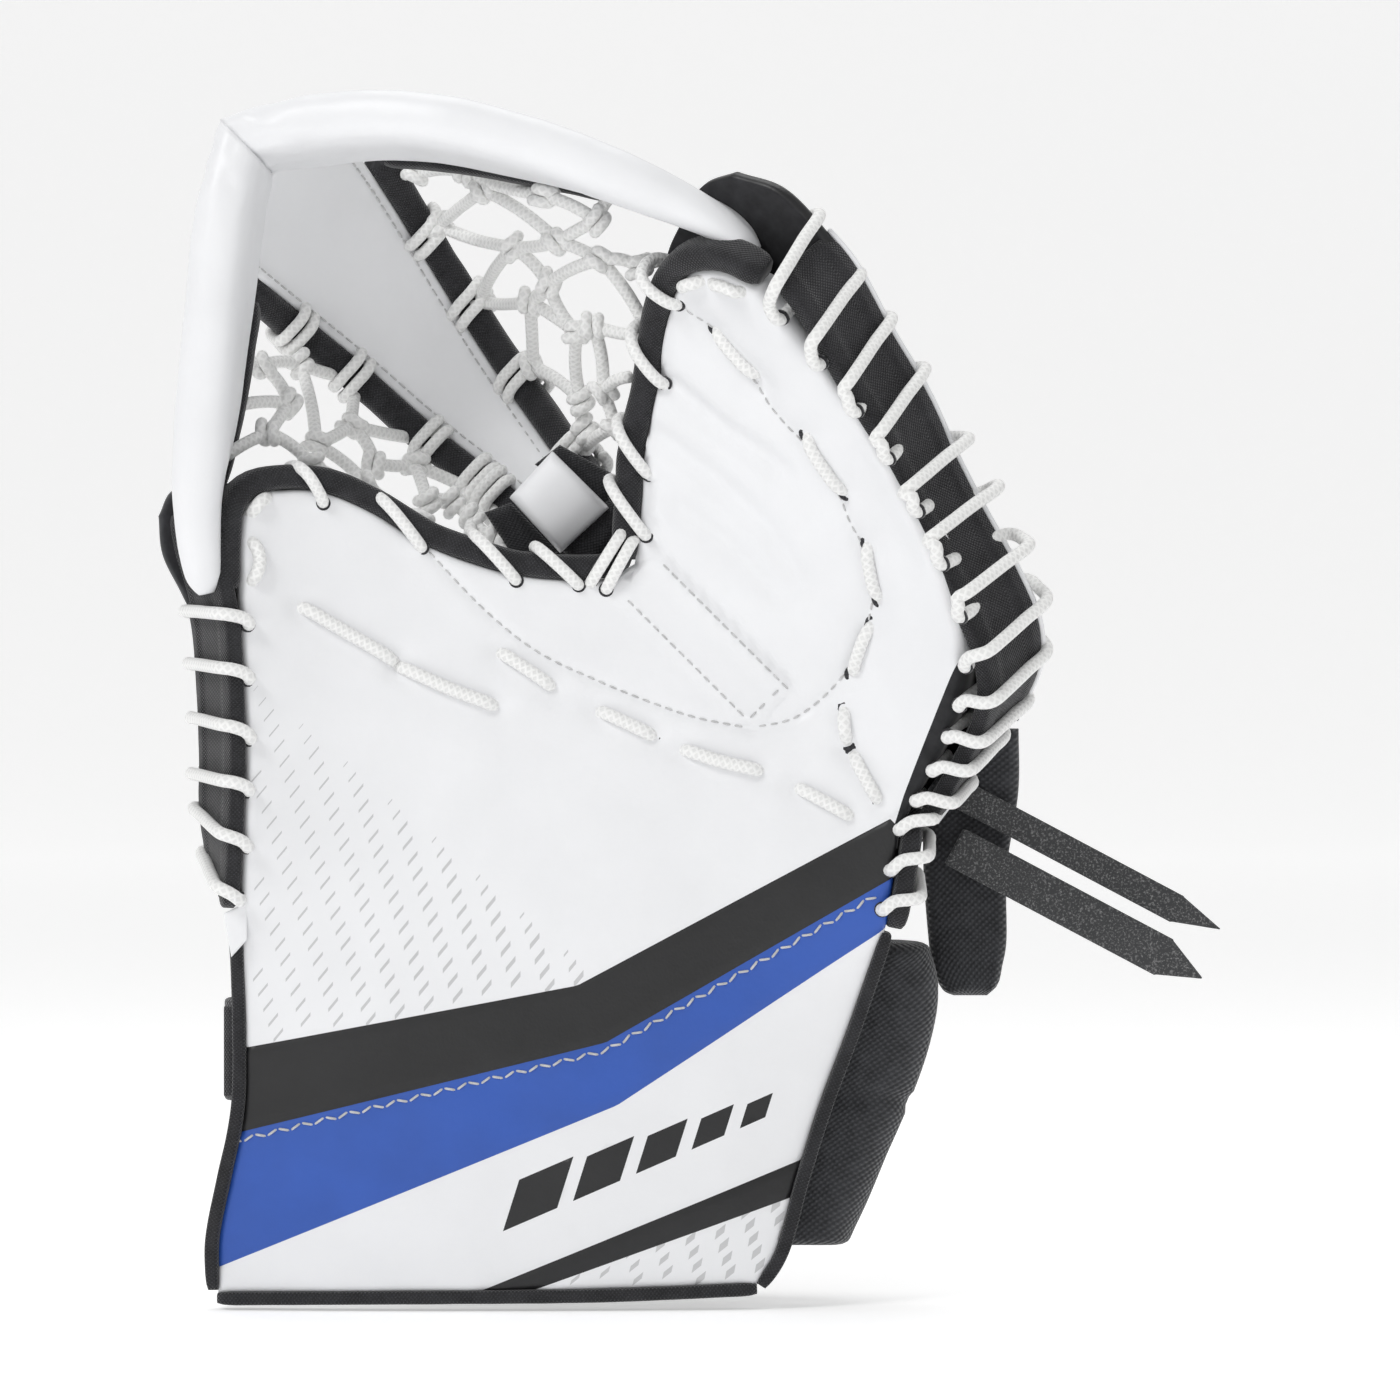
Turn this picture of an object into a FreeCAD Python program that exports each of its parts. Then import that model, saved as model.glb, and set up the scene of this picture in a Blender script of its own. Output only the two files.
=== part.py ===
"""Goalie catch glove for the left hand, standing with the cuff down and the catching side towards -Y.

Millimetres, +Z up. The origin is the centre of the wrist opening at the cuff's lower edge. The glove closes
about a fold line that runs from the heel, past the crotch, to the corner of the T trap: x + z = FOLD_SUM.
"""

import FreeCAD
import Part
import math
import os

from FreeCAD import Vector

OUT = "parts"

# Driving dimensions of the catching side
CUFF_Y = -40.0          # front face of the cuff, in front of the wrist's centre
FOLD_SUM = 298.0        # x + z on the fold line
FOLD_GAP = 0.25         # each half stops this far from the fold line
CORNER_V = 7.0          # how far across the fold line the T's corner lies
CORNER_HALF = 4.0       # each arm of the T stops this far from its corner
HEEL_U = 22.6           # where the fold line meets the heel, along the fold
CROTCH_U = 154.0        # where it meets the pocket's edge
HEEL_DEPTH = 2.0        # how far the fold lies behind the cuff's face at the heel
CROTCH_DEPTH = 10.0     # and at the crotch
PALM_SPAN = 72.0        # how quickly the palm rises out of the fold
WING_CURVE = 0.006      # cupping of the finger half
THUMB_CURL = 14.0       # how far the thumb's edge comes forward
CUFF_CURL = 0.0006      # cupping of the cuff round the wrist

# Layers, each from the catching surface backwards
LEATHER = 1.6
GAP = 0.06
FOAM_END = 10.5
LINER_END = 11.8
BOARD_START = 6.2
BOARD_END = 8.0
BACK_START = 30.2
SHELL_END = 34.0
PANEL_END = 35.0
FLAP_THICKNESS = 11.0
TIP_SEAM = 318.0        # height of the seam below the fingertips' cap

LACE_R = 2.3
STRAND_R = 2.2
LACE_BEND = 4.0
SQ2 = math.sqrt(2.0)


# ---- the catching surface ------------------------------------------------------------------------

def ease(t):
    """0 below 0, 1 above 1, smooth between."""
    t = max(0.0, min(1.0, t))
    return t * t * (3 - 2 * t)


def fold_uv(x, z):
    """Distance along the fold line, and across it, positive on the finger side."""
    return (z - x) / SQ2, (x + z - FOLD_SUM) / SQ2


def from_uv(u, v):
    total = v * SQ2 + FOLD_SUM
    return (total - u * SQ2) / 2, (total + u * SQ2) / 2


def fold_depth(u):
    share = ease((u - HEEL_U + 20) / (CROTCH_U - HEEL_U + 40))
    return HEEL_DEPTH + (CROTCH_DEPTH - HEEL_DEPTH) * share


def catch_y(x, z):
    """Depth of the catching surface at a place in the front view."""
    u, v = fold_uv(x, z)
    if v >= 0:
        curve = WING_CURVE + 0.0045 * ease((110 - u) / 90)
        return CUFF_Y + fold_depth(u) - curve * v * v
    valley = fold_depth(u) * math.exp(-((v / PALM_SPAN) ** 2))
    thumb = THUMB_CURL * (max(0.0, -30 - x) / 66) ** 2 * ease((z - 90) / 90)
    cuff = CUFF_CURL * (x + 12) ** 2 * ease((170 - z) / 110)
    return CUFF_Y + valley - thumb + cuff


def surface_point(x, z):
    return Vector(x, catch_y(x, z), z)


def back_normal(x, z, step=0.5):
    """Unit normal of the catching surface, pointing to the glove's back."""
    dx = (catch_y(x + step, z) - catch_y(x - step, z)) / (2 * step)
    dz = (catch_y(x, z + step) - catch_y(x, z - step)) / (2 * step)
    return Vector(-dx, 1, -dz).normalize()


def surface_face(x0, x1, z0, z1, nx, nz):
    rows = []
    for i in range(nx):
        x = x0 + (x1 - x0) * i / (nx - 1)
        rows.append([surface_point(x, z0 + (z1 - z0) * k / (nz - 1)) for k in range(nz)])
    surface = Part.BSplineSurface()
    surface.interpolate(rows)
    return surface.toShape()


# ---- outlines ------------------------------------------------------------------------------------

def spline(points):
    curve = Part.BSplineCurve()
    curve.interpolate([Vector(x, -250, z) for x, z in points])
    return curve.toShape()


def side(points):
    """One side of an outline: a straight edge through two points, a smooth one through more."""
    if len(points) == 2:
        (ax, az), (bx, bz) = points
        return Part.LineSegment(Vector(ax, -250, az), Vector(bx, -250, bz)).toShape()
    return spline(points)


def prism(sides):
    """A prism along Y with the outline that these sides make, one after another."""
    face = Part.Face(Part.Wire([side(s) for s in sides]))
    return face.extrude(Vector(0, 500, 0))


def polygon(points):
    loop = list(points) + [points[0]]
    return prism([loop[i:i + 2] for i in range(len(points))])


def trimmed(face, *prisms):
    for p in prisms:
        face = face.common(p)
    return face.Faces[0]


def layer(face, start, end):
    """The solid between two distances behind a trimmed face of the catching surface."""
    turned = face.copy()
    base = turned.makeOffsetShape(start, 0.01) if start > 0 else turned
    if base.CenterOfMass.y < face.CenterOfMass.y - 1e-6:
        base = turned.makeOffsetShape(-start, 0.01)
    solid = base.makeOffsetShape(end - start, 0.01, fill=True)
    if solid.CenterOfMass.y < base.CenterOfMass.y:
        solid = base.makeOffsetShape(start - end, 0.01, fill=True)
    return as_solid(solid)


def as_solid(shape):
    solid = shape.Solids[0] if shape.Solids else Part.makeSolid(shape.Shells[0])
    if solid.Volume < 0:
        solid.reverse()
    return solid


# ---- bands and laces -----------------------------------------------------------------------------

def frames_on_surface(points, outward_sign, count):
    """Frames (place, tangent, outward, back) evenly along a smooth line on the catching surface."""
    line = Part.BSplineCurve()
    line.interpolate([Vector(x, 0, z) for x, z in points])
    frames = []
    for d in Part.Wire([line.toShape()]).discretize(count):
        frames.append((d.x, d.z))
    made = []
    for i, (x, z) in enumerate(frames):
        ax, az = frames[max(i - 1, 0)]
        bx, bz = frames[min(i + 1, count - 1)]
        tangent = (surface_point(bx, bz) - surface_point(ax, az)).normalize()
        back = back_normal(x, z)
        outward = tangent.cross(back).normalize() * outward_sign
        made.append((surface_point(x, z), tangent, outward, back))
    return made


def rounded(width, height, power=3.2, count=14):
    """A rounded box as (across, along) points: width across, height along."""
    points = []
    for i in range(count):
        a = 2 * math.pi * (i + 0.5) / count
        c, s = math.cos(a), math.sin(a)
        points.append((
            width / 2 * math.copysign(abs(c) ** (2 / power), c),
            height / 2 * math.copysign(abs(s) ** (2 / power), s),
        ))
    return points


def section(frame, profile, outward, back):
    """A closed smooth wire: the profile's middle is moved outward and back from the frame."""
    place, _, out_dir, back_dir = frame
    curve = Part.BSplineCurve()
    points = [place + out_dir * (outward + a) + back_dir * (back + b) for a, b in profile]
    curve.interpolate(points, PeriodicFlag=True)
    return Part.Wire([curve.toShape()])


def band(frames, width, height, outward=0.0, back=0.0, ends=0.6):
    """A strip along the frames: width outward, height backwards, its ends drawn in a little."""
    wires = []
    for i, frame in enumerate(frames):
        share = ends if i in (0, len(frames) - 1) else 1.0
        wires.append(section(frame, rounded(width * share, height * share), outward, back))
    return as_solid(Part.makeLoft(wires, True, False))


def tube(points, radius, share=0.45, limit=None):
    """A round cord through the points: straight runs joined by tangent arcs."""
    edges = []
    at = points[0]
    for before, corner, after in zip(points, points[1:], points[2:]):
        to_before, to_after = (before - corner), (after - corner)
        run = min(to_before.Length, to_after.Length) * share
        d_in, d_out = to_before.normalize(), to_after.normalize()
        turn = math.pi - d_in.getAngle(d_out)
        if limit:
            run = min(run, limit * math.tan(turn / 2))
        if turn < 0.02:
            continue
        start, end = corner + d_in * run, corner + d_out * run
        bend = run / math.tan(turn / 2)
        middle_dir = (d_in + d_out).normalize()
        centre = corner + middle_dir * (bend / math.cos(turn / 2))
        middle = centre - middle_dir * bend
        if (start - at).Length > 1e-4:
            edges.append(Part.LineSegment(at, start).toShape())
        edges.append(Part.Arc(start, middle, end).toShape())
        at = end
    edges.append(Part.LineSegment(at, points[-1]).toShape())
    path = Part.Wire(edges)
    first = (points[1] - points[0]).normalize()
    circle = Part.Wire([Part.makeCircle(radius, points[0], first)])
    return as_solid(path.makePipeShell([circle], True, False))


def edge_lace(frames, middle, width, depth):
    """A lace that winds round a band: through its middle, then round the outside to the next hole."""
    over = LACE_R + 0.4
    outside = middle + width / 2 + over
    route = []
    for i, (place, _, outward, back) in enumerate(frames):
        hole = place + outward * middle
        route.append(hole + back * (depth + over))
        route.append(hole - back * over)
        if i < len(frames) - 1:
            step = frames[i + 1][0] - place
            route.append(place + outward * outside - back * (over - 1.2) + step * 0.30)
            route.append(place + outward * outside + back * (depth - 1.0) + step * 0.80)
    return tube(route, LACE_R, limit=LACE_BEND)


def lace_run(points, buried=5.0):
    """A visible run of a tie lace: it lies on the leather and dips through it at both ends."""
    over = LACE_R + 0.1
    route = [surface_point(*points[0]) + back_normal(*points[0]) * buried]
    for x, z in points:
        route.append(surface_point(x, z) - back_normal(x, z) * over)
    route.append(surface_point(*points[-1]) + back_normal(*points[-1]) * buried)
    return tube(route, LACE_R, limit=LACE_BEND)


def box(x0, x1, y0, y1, z0, z1):
    return Part.makeBox(x1 - x0, y1 - y0, z1 - z0, Vector(x0, y0, z0))


def save(name, *solids):
    shape = solids[0] if len(solids) == 1 else Part.makeCompound(list(solids))
    for s in shape.Solids:
        if not s.isValid() or s.Volume <= 0:
            print("NOT VALID", name, s.Volume)
    print(f"{name:26s} {len(shape.Solids):3d} solid(s) {shape.Volume / 1000:9.2f} cm3")
    shape.exportStep(os.path.join(OUT, name + ".step"))



# ---- the outlines of the two halves, in the front view -------------------------------------------

CROTCH = (FOLD_SUM - 258.0, 258.0)
HEEL = (FOLD_SUM - 165.0, 165.0)
LEFT_EDGE = [(-106.8, 1.4), (-107, 21), (-102.9, 42), (-98, 66.5), (-97.3, 94.5), (-98, 122.5),
             (-95.9, 154), (-94.5, 189), (-95.9, 231), (-96.6, 266)]
THUMB_TIP = [(-96.6, 266), (-94.5, 278), (-86, 283.5)]
PALM_TOP = [(-86, 283.5), (-70, 283.5), (-52.5, 276.5), (-31.5, 264), (-7, 255.5), (14, 252.7), (30, 253),
            CROTCH]
CUFF_RIGHT = [HEEL, (130.5, 143.5), (127.8, 127.8), (115.5, 92.8), (105.7, 66.5), (98, 42), (91, 17.5),
              (83.3, 4.5)]
CUFF_BOTTOM = [(83.3, 4.5), (28, 2.8), (-42, 2.1), (-106.8, 1.4)]
WING_LEFT = [CROTCH, (42, 280), (43, 297.5), (47.3, 318.5), (49.7, 336), (53.2, 350)]
WING_TIP = [(53.2, 350), (59.5, 357), (70, 357), (82.3, 350.5)]
WING_RIGHT = [(82.3, 350.5), (92.8, 339.5), (105, 318.5), (119, 295.8), (133, 266), (145.3, 241.5),
              (153.3, 222.3), (154, 207), (145.3, 187), HEEL]

# Seams of the cuff's inlays: left end, kink, right end, carried past the edges
FAR_LEFT, FAR_RIGHT = -150, 185
BAND_TOP = [(FAR_LEFT, 78), (20, 110), (FAR_RIGHT, 197.8)]
BLUE_TOP = [(FAR_LEFT, 45.7), (30, 90), (FAR_RIGHT, 178.7)]
BLUE_BOTTOM = [(FAR_LEFT, -6.9), (34, 68), (FAR_RIGHT, 166.9)]
STRIPE_TOP = [(FAR_LEFT, -51.9), (FAR_RIGHT, 83.4)]
STRIPE_BOTTOM = [(FAR_LEFT, -51.4), (FAR_RIGHT, 67.1)]


def between(lower, upper):
    """A prism between two seams."""
    return polygon(lower + upper[::-1])


def halfspace(seam, top):
    """Everything above a seam (top 400) or below it (top -100)."""
    loop = seam + [(seam[-1][0], top), (seam[0][0], top)]
    return polygon(loop)


def fold_side(sign):
    """Everything on one side of the fold line, short of it by FOLD_GAP."""
    corners = [from_uv(-80, sign * FOLD_GAP), from_uv(420, sign * FOLD_GAP),
               from_uv(420, sign * 420), from_uv(-80, sign * 420)]
    return polygon(corners)


def window(x0, x1, z0, z1):
    return polygon([(x0, z0), (x1, z0), (x1, z1), (x0, z1)])


def build_faces():
    """The catching surface of each half, trimmed to its outline."""
    palm_out = prism([LEFT_EDGE, THUMB_TIP, PALM_TOP, [CROTCH, HEEL], CUFF_RIGHT, CUFF_BOTTOM])
    wing_out = prism([WING_LEFT, WING_TIP, WING_RIGHT, [HEEL, CROTCH]])
    palm = trimmed(surface_face(-130, 160, -20, 300, 14, 16), palm_out, fold_side(-1))
    wing = trimmed(surface_face(20, 185, 130, 385, 14, 18), wing_out, fold_side(1))
    return palm, wing


# ---- catching side: skins, foams and liners ------------------------------------------------------

def palm_half(palm):
    upper = trimmed(palm, halfspace(BAND_TOP, 400))
    lower = trimmed(palm, halfspace(BAND_TOP, -100))
    save("palm_leather", layer(upper, 0, LEATHER))
    save("cuff_black_band", layer(trimmed(palm, between(BLUE_TOP, BAND_TOP)), 0, LEATHER))
    save("cuff_blue_band", layer(trimmed(palm, between(BLUE_BOTTOM, BLUE_TOP)), 0, LEATHER))
    white = trimmed(palm, halfspace(BLUE_BOTTOM, -100), halfspace(STRIPE_TOP, 400))
    save("cuff_white_panel", layer(white, 0, LEATHER))
    save("cuff_black_stripe", layer(trimmed(palm, between(STRIPE_BOTTOM, STRIPE_TOP)), 0, LEATHER))
    save("cuff_corner_panel", layer(trimmed(palm, halfspace(STRIPE_BOTTOM, -100)), 0, LEATHER))
    save("palm_foam", layer(upper, LEATHER + GAP, FOAM_END))
    save("cuff_foam", layer(lower, LEATHER + GAP, BOARD_START - GAP))
    save("cuff_board", layer(lower, BOARD_START, BOARD_END))
    save("cuff_liner", layer(lower, BOARD_END + GAP, BOARD_END + 1.2))
    hand = trimmed(upper, window(-40, 200, 100, 300))
    save("palm_liner", layer(hand, FOAM_END + GAP, LINER_END))
    thumb = trimmed(upper, window(-130, -40.3, 130, 300))
    save("thumb_liner", layer(thumb, FOAM_END + GAP, LINER_END))


def finger_half(wing):
    save("finger_leather", layer(wing, 0, LEATHER))
    save("finger_foam", layer(wing, LEATHER + GAP, FOAM_END))
    save("finger_liner", layer(wing, FOAM_END + GAP, LINER_END))


# ---- back of the glove ---------------------------------------------------------------------------

def thumb_back():
    """The thumb's back shell, a little wider than the palm near the tip."""
    outline = prism([
        [(-34, 140), (-96.9, 140)],
        [(-96.9, 140), (-95.9, 154), (-94.5, 189), (-95.9, 228), (-100, 247), (-105.5, 262), (-106, 275)],
        [(-106, 275), (-102, 285), (-92, 288.5)],
        [(-92, 288.5), (-70, 284.5), (-52.5, 277), (-34, 265.4)],
        [(-34, 265.4), (-34, 140)],
    ])
    face = trimmed(surface_face(-130, 160, -20, 300, 14, 16), outline)
    save("thumb_shell", layer(face, BACK_START, SHELL_END))


def backhand(palm):
    middle = trimmed(palm, window(-33.4, 200, 128, 300), fold_side(-1))
    save("backhand_panel", layer(middle, BACK_START, PANEL_END))


def finger_back():
    outline = prism([
        [CROTCH, (41, 285), (39, 320), (38, 350), (43, 364.5)],
        [(43, 364.5), (49, 367), (56, 365.5)],
        [(56, 365.5), (71, 358), (92.8, 339.5)],
        [(92.8, 339.5), (105, 318.5), (119, 295.8), (133, 266), (145.3, 241.5), (153.3, 222.3), (154, 207),
         (145.3, 187), HEEL],
        [HEEL, CROTCH],
    ])
    back = trimmed(surface_face(20, 185, 130, 395, 14, 18), outline, fold_side(1))
    save("finger_shell", layer(trimmed(back, window(0, 200, 100, TIP_SEAM)), BACK_START, SHELL_END))
    save("finger_tip_cap", layer(trimmed(back, window(0, 200, TIP_SEAM + 0.1, 400)), BACK_START, SHELL_END))


# Middle lines of two loose padded flaps: x, depth, z, half width, turn of the outer edge to the front
HEEL_FLAP = [
    (160, 22, 108, 11, 0.03),
    (159, 21, 122, 13, 0.03),
    (158, 18.5, 150, 15, 0.03),
    (160, 16, 178, 17, 0.05),
    (160, 13.5, 197, 16, 0.1),
]
FINGER_FLAP = [
    (160, 5, 206, 16, 0.25),
    (160, 0, 220, 18, 0.35),
    (158, -5, 234, 18, 0.45),
    (151, -17, 258, 15, 0.6),
    (143, -26, 274, 11, 0.7),
]


def flap(rows):
    """A loose padded flap, lofted along its middle line."""
    places = [Vector(x, y, z) for x, y, z, _, _ in rows]
    wires = []
    for i, (place, (_, _, _, half, turn)) in enumerate(zip(places, rows)):
        tangent = (places[min(i + 1, len(places) - 1)] - places[max(i - 1, 0)]).normalize()
        across = Vector(1, -turn, 0)
        across = (across - tangent * across.dot(tangent)).normalize()
        back = tangent.cross(across) * -1
        share = 0.7 if i in (0, len(rows) - 1) else 1.0
        profile = rounded(2 * half * share, FLAP_THICKNESS * share)
        wires.append(section((place, tangent, across, back), profile, 0, 0))
    return as_solid(Part.makeLoft(wires, True, False))


def flaps():
    """One hangs beside the wrist behind the heel; the other covers the back of the fingers' laced edge."""
    save("backhand_pad", flap(HEEL_FLAP))
    save("finger_side_pad", flap(FINGER_FLAP))


# ---- bindings and gussets ------------------------------------------------------------------------

# The bound edges, and how many holes the laces of three of them are spaced for
FINGER_EDGE = [(84, 350), (92.8, 339.5), (105, 318.5), (119, 295.8), (133, 266), (145.3, 241.5),
               (153.3, 222.3), (154, 207), (146, 188), (137, 173.5)]
THUMB_EDGE = [(-97.6, 136), (-95.9, 154), (-94.5, 189), (-95.9, 231), (-96.4, 247)]
HEEL_EDGE = [(132, 161), (130.5, 143.5), (127.8, 130)]
PALM_POCKET = [(-96.4, 249), (-96.6, 266), (-94.5, 278), (-86, 283.5), (-70, 283.5), (-52.5, 276.5),
               (-31.5, 264), (-7, 255.5), (14, 252.7), (28, 253)]
FINGER_POCKET = [(41.5, 266), (42, 280), (43, 297.5), (47.3, 318.5), (49.7, 336), (53.2, 350), (59.5, 357),
                 (70, 357), (81, 351.5)]
FINGER_TURNS = 14
THUMB_TURNS = 7
HEEL_TURNS = 4


def bindings():
    thumb = frames_on_surface(THUMB_EDGE, 1, 9)
    save("thumb_edge_binding", band(thumb, 6, 36, outward=3.5, back=17))
    top = frames_on_surface(PALM_POCKET, 1, 16)
    save("palm_pocket_binding", band(top, 8, 13, outward=4.7, back=5.2))
    finger = frames_on_surface(FINGER_EDGE, 1, 14)
    save("finger_edge_binding", band(finger, 8, 36, outward=4.3, back=17))
    pocket = frames_on_surface(FINGER_POCKET, 1, 15)
    save("finger_pocket_binding", band(pocket, 9, 13, outward=4.8, back=5.2))
    heel = frames_on_surface(HEEL_EDGE, 1, 4)
    save("heel_binding", band(heel, 7, 36, outward=3.8, back=17))


CUFF_TAPE_LEFT = [(-97.9, 128), (-97.3, 94.5), (-98, 66.5), (-102.9, 42), (-107, 21), (-106.5, 3)]
CUFF_TAPE_BOTTOM = [(-104, 1.3), (-42, 2.0), (28, 2.7), (81, 4.4)]
CUFF_TAPE_RIGHT = [(84.5, 7), (91, 17.5), (98, 42), (105.7, 66.5), (115.5, 92.8), (126, 123)]


def cuff_trim():
    """Bias tape round the free edges of the cuff."""
    for name, side, count in (
        ("left", CUFF_TAPE_LEFT, 9),
        ("bottom", CUFF_TAPE_BOTTOM, 7),
        ("right", CUFF_TAPE_RIGHT, 8),
    ):
        edge = frames_on_surface(side, -1, count)
        save(f"cuff_trim_{name}", band(edge, 3.2, 11.5, outward=2.2, back=4.4))


def gussets():
    """The black cloth walls that close the thumb and finger stalls towards the pocket."""
    middle = (LINER_END + BACK_START) / 2
    height = BACK_START - LINER_END - 0.6
    top = frames_on_surface([(-88, 281.5), (-70, 281.5), (-53.5, 274.5), (-32.5, 262)], 1, 7)
    save("thumb_gusset", band(top, 1.6, height, outward=-1.2, back=middle, ends=1.0))
    side = [(43.5, 268), (44, 280), (45, 297.5), (49.3, 318.5), (51.7, 336), (54.5, 346)]
    side_path = frames_on_surface(side, 1, 9)
    save("finger_gusset", band(side_path, 1.6, height, outward=-1.2, back=middle, ends=1.0))


# ---- T trap --------------------------------------------------------------------------------------

ROLL_DEPTH = 40.0

# Along the stem: place along the fold line, offset across it, depth, half width of the white leather
STEM = [(170, -5, -4, 6.5), (190, -3, 13, 8), (215, -1.5, 28, 11), (245, -0.5, 38, 15.5), (275, 2, 38, 20),
        (303, 4, 27, 25), (322, 5, 10, 28), (334, 5, -9, 29)]
ROLL = [
    (9.5, 0), (8.0, -6), (3.4, -9.2), (-3.4, -9.2), (-8.0, -6), (-9.5, 0), (-8.8, 12), (-7.4, 22),
    (-6.4, 34), (-3.5, 40), (1.5, 40), (4.4, 34), (6.4, 22), (8.6, 12),
]


def stem_frames():
    """Frames on the stem's catching face: across is towards the fingers, back is away from the puck."""
    places = []
    for u, v, y, _ in STEM:
        x, z = from_uv(u, v)
        places.append(Vector(x, y, z))
    across = Vector(1, 0, 1).normalize()
    frames = []
    for i, place in enumerate(places):
        before, after = places[max(i - 1, 0)], places[min(i + 1, len(places) - 1)]
        tangent = (after - before)
        tangent = (tangent - across * tangent.dot(across)).normalize()
        frames.append((place, tangent, across, across.cross(tangent).normalize() * -1))
    return frames


def slab_section(frame, half_width, start, end):
    """A flat rounded bar across the stem, between two distances behind its catching face."""
    profile = rounded(2 * half_width, end - start, power=6, count=16)
    return section(frame, profile, 0, (start + end) / 2)


def stem_layer(frames, inset, start, end):
    wires = []
    for frame, (_, _, _, half) in zip(frames, STEM):
        wires.append(slab_section(frame, half - inset, start, end))
    return as_solid(Part.makeLoft(wires, True, False))


def t_stem():
    frames = stem_frames()
    save("t_stem_leather", stem_layer(frames, 0.2, 0, 2.2))
    save("t_stem_core", stem_layer(frames, 0.8, 2.5, 8.3))
    save("t_stem_back", stem_layer(frames, 0.2, 8.6, 10.8))
    for name, sign in (("t_stem_binding_thumb", -1), ("t_stem_binding_finger", 1)):
        edges = []
        for frame, (_, _, _, half) in zip(frames[:-1], STEM):
            place, tangent, across, back = frame
            edges.append((place + across * sign * half, tangent, across * sign, back))
        save(name, band(edges, 8, 13.5, outward=4.4, back=5.4, ends=0.8))


def roll_solid(rows):
    """A rolled edge lofted through rows of (place, outward, back direction, width share, depth share)."""
    wires = []
    for place, outward, back, wide, deep in rows:
        curve = Part.BSplineCurve()
        points = []
        for a, b in ROLL:
            reach = b if b < 0 else b * deep
            points.append(place + outward * a * wide + back * reach)
        curve.interpolate(points, PeriodicFlag=True)
        wires.append(Part.Wire([curve.toShape()]))
    return as_solid(Part.makeLoft(wires, True, False))


# Along each arm of the T: x, depth, z, lean of the back edge into the pocket, width share, depth share.
# Both start beyond the corner, where the fold plane trims them.
ARM_THUMB = [
    (-92, -44, 418, 0.20, 0.90, 0.80),
    (-98.5, -50, 399, 0.20, 0.94, 0.86),
    (-103.6, -55, 376, 0.20, 1, 1),
    (-107.0, -59, 339, 0.16, 1.0, 1.0),
    (-110.2, -58, 304, 0.10, 1.0, 0.92),
    (-113.8, -55, 279, 0.0, 0.78, 0.62),
    (-114.8, -53, 254, -0.2, 0.50, 0.34),
]
ARM_FINGER = [
    (-112, -44, 400, 0.20, 0.90, 0.80),
    (-92, -50, 407, 0.20, 0.94, 0.86),
    (-70, -56, 411, 0.2, 1, 1),
    (-47, -62, 412, 0.18, 1, 1),
    (-22, -68, 409, 0.16, 1, 1),
    (9, -72, 400.5, 0.1, 1, 1),
    (37, -74, 389.5, 0.0, 0.95, 0.84),
    (58, -73, 381.5, -0.2, 0.72, 0.60),
    (73, -72, 374.5, -0.4, 0.45, 0.4),
]


def arm_rows(points, inward):
    """Turns an arm's points into rows: the back edge leans towards the pocket's middle."""
    places = [Vector(x, y, z) for x, y, z, _, _, _ in points]
    rows = []
    for i, (place, (_, _, _, lean, wide, deep)) in enumerate(zip(places, points)):
        tangent = (places[min(i + 1, len(places) - 1)] - places[max(i - 1, 0)]).normalize()
        across = tangent.cross(Vector(0, 1, 0)).normalize()
        if across.dot(inward) > 0:
            across = across * -1
        back = (Vector(0, 1, 0) - across * lean).normalize()
        outward = (across - back * across.dot(back)).normalize()
        rows.append((place, outward, back, wide, deep))
    return rows


def corner_slab(low, high):
    """The space between two distances across the fold, measured at the T's corner."""
    corners = []
    for u, v in ((150, low), (500, low), (500, high), (150, high)):
        corners.append(from_uv(u, CORNER_V + v))
    return polygon(corners)


def t_arms():
    thumb_rows = arm_rows(ARM_THUMB, Vector(1, 0, -0.2))
    finger_rows = arm_rows(ARM_FINGER, Vector(0, 0, -1))
    thumb, finger = roll_solid(thumb_rows), roll_solid(finger_rows)
    save("t_arm_thumb", as_solid(thumb.common(corner_slab(-300, -CORNER_HALF))))
    save("t_arm_finger", as_solid(finger.common(corner_slab(CORNER_HALF, 300))))
    inner = CORNER_HALF - 0.2
    left = as_solid(thumb.common(corner_slab(-inner, 0)))
    right = as_solid(finger.common(corner_slab(0, inner)))
    save("t_corner", left, right)
    for name, rows in (("thumb", thumb_rows[2:-2]), ("finger", finger_rows[3:-2])):
        edges = []
        for place, outward, back, wide, deep in rows:
            edge = place + back * ROLL_DEPTH * deep - outward * 1.5 * wide
            edges.append((edge, outward.cross(back), outward, back))
        save(f"t_arm_binding_{name}", band(edges, 10, 8, outward=0, back=5.8, ends=0.8))


# ---- nets ----------------------------------------------------------------------------------------

def stem_at(u):
    """The stem's offset, depth and half width, bindings included, at a place along the fold line."""
    for near, far in zip(STEM, STEM[1:]):
        if u <= far[0]:
            break
    t = (u - near[0]) / (far[0] - near[0])
    offset, depth, half = (a * (1 - t) + b * t for a, b in zip(near[1:], far[1:]))
    return offset, depth, half + 8.4


def net_depth(u, v, sign, rim, width):
    """The net sags from the rim to the stem's deeper edge."""
    offset, depth, half = stem_at(min(max(u, 171), 333))
    t = max(0.0, min(1.0, (sign * (v - offset) - half) / width))
    return (depth + 5) * (1 - t) ** 1.6 + rim * (1 - (1 - t) ** 1.6)


def strand(start, end, sign, rim, width, lift):
    """One straight run of the net in the front view, from (u, v) to (u, v), at its own depth."""
    points = []
    for i in range(6):
        t = i / 5
        u, v = start[0] + (end[0] - start[0]) * t, start[1] + (end[1] - start[1]) * t
        x, z = from_uv(u, v)
        points.append(Vector(x, net_depth(u, v, sign, rim, width) + lift, z))
    return tube(points, STRAND_R)


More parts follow.
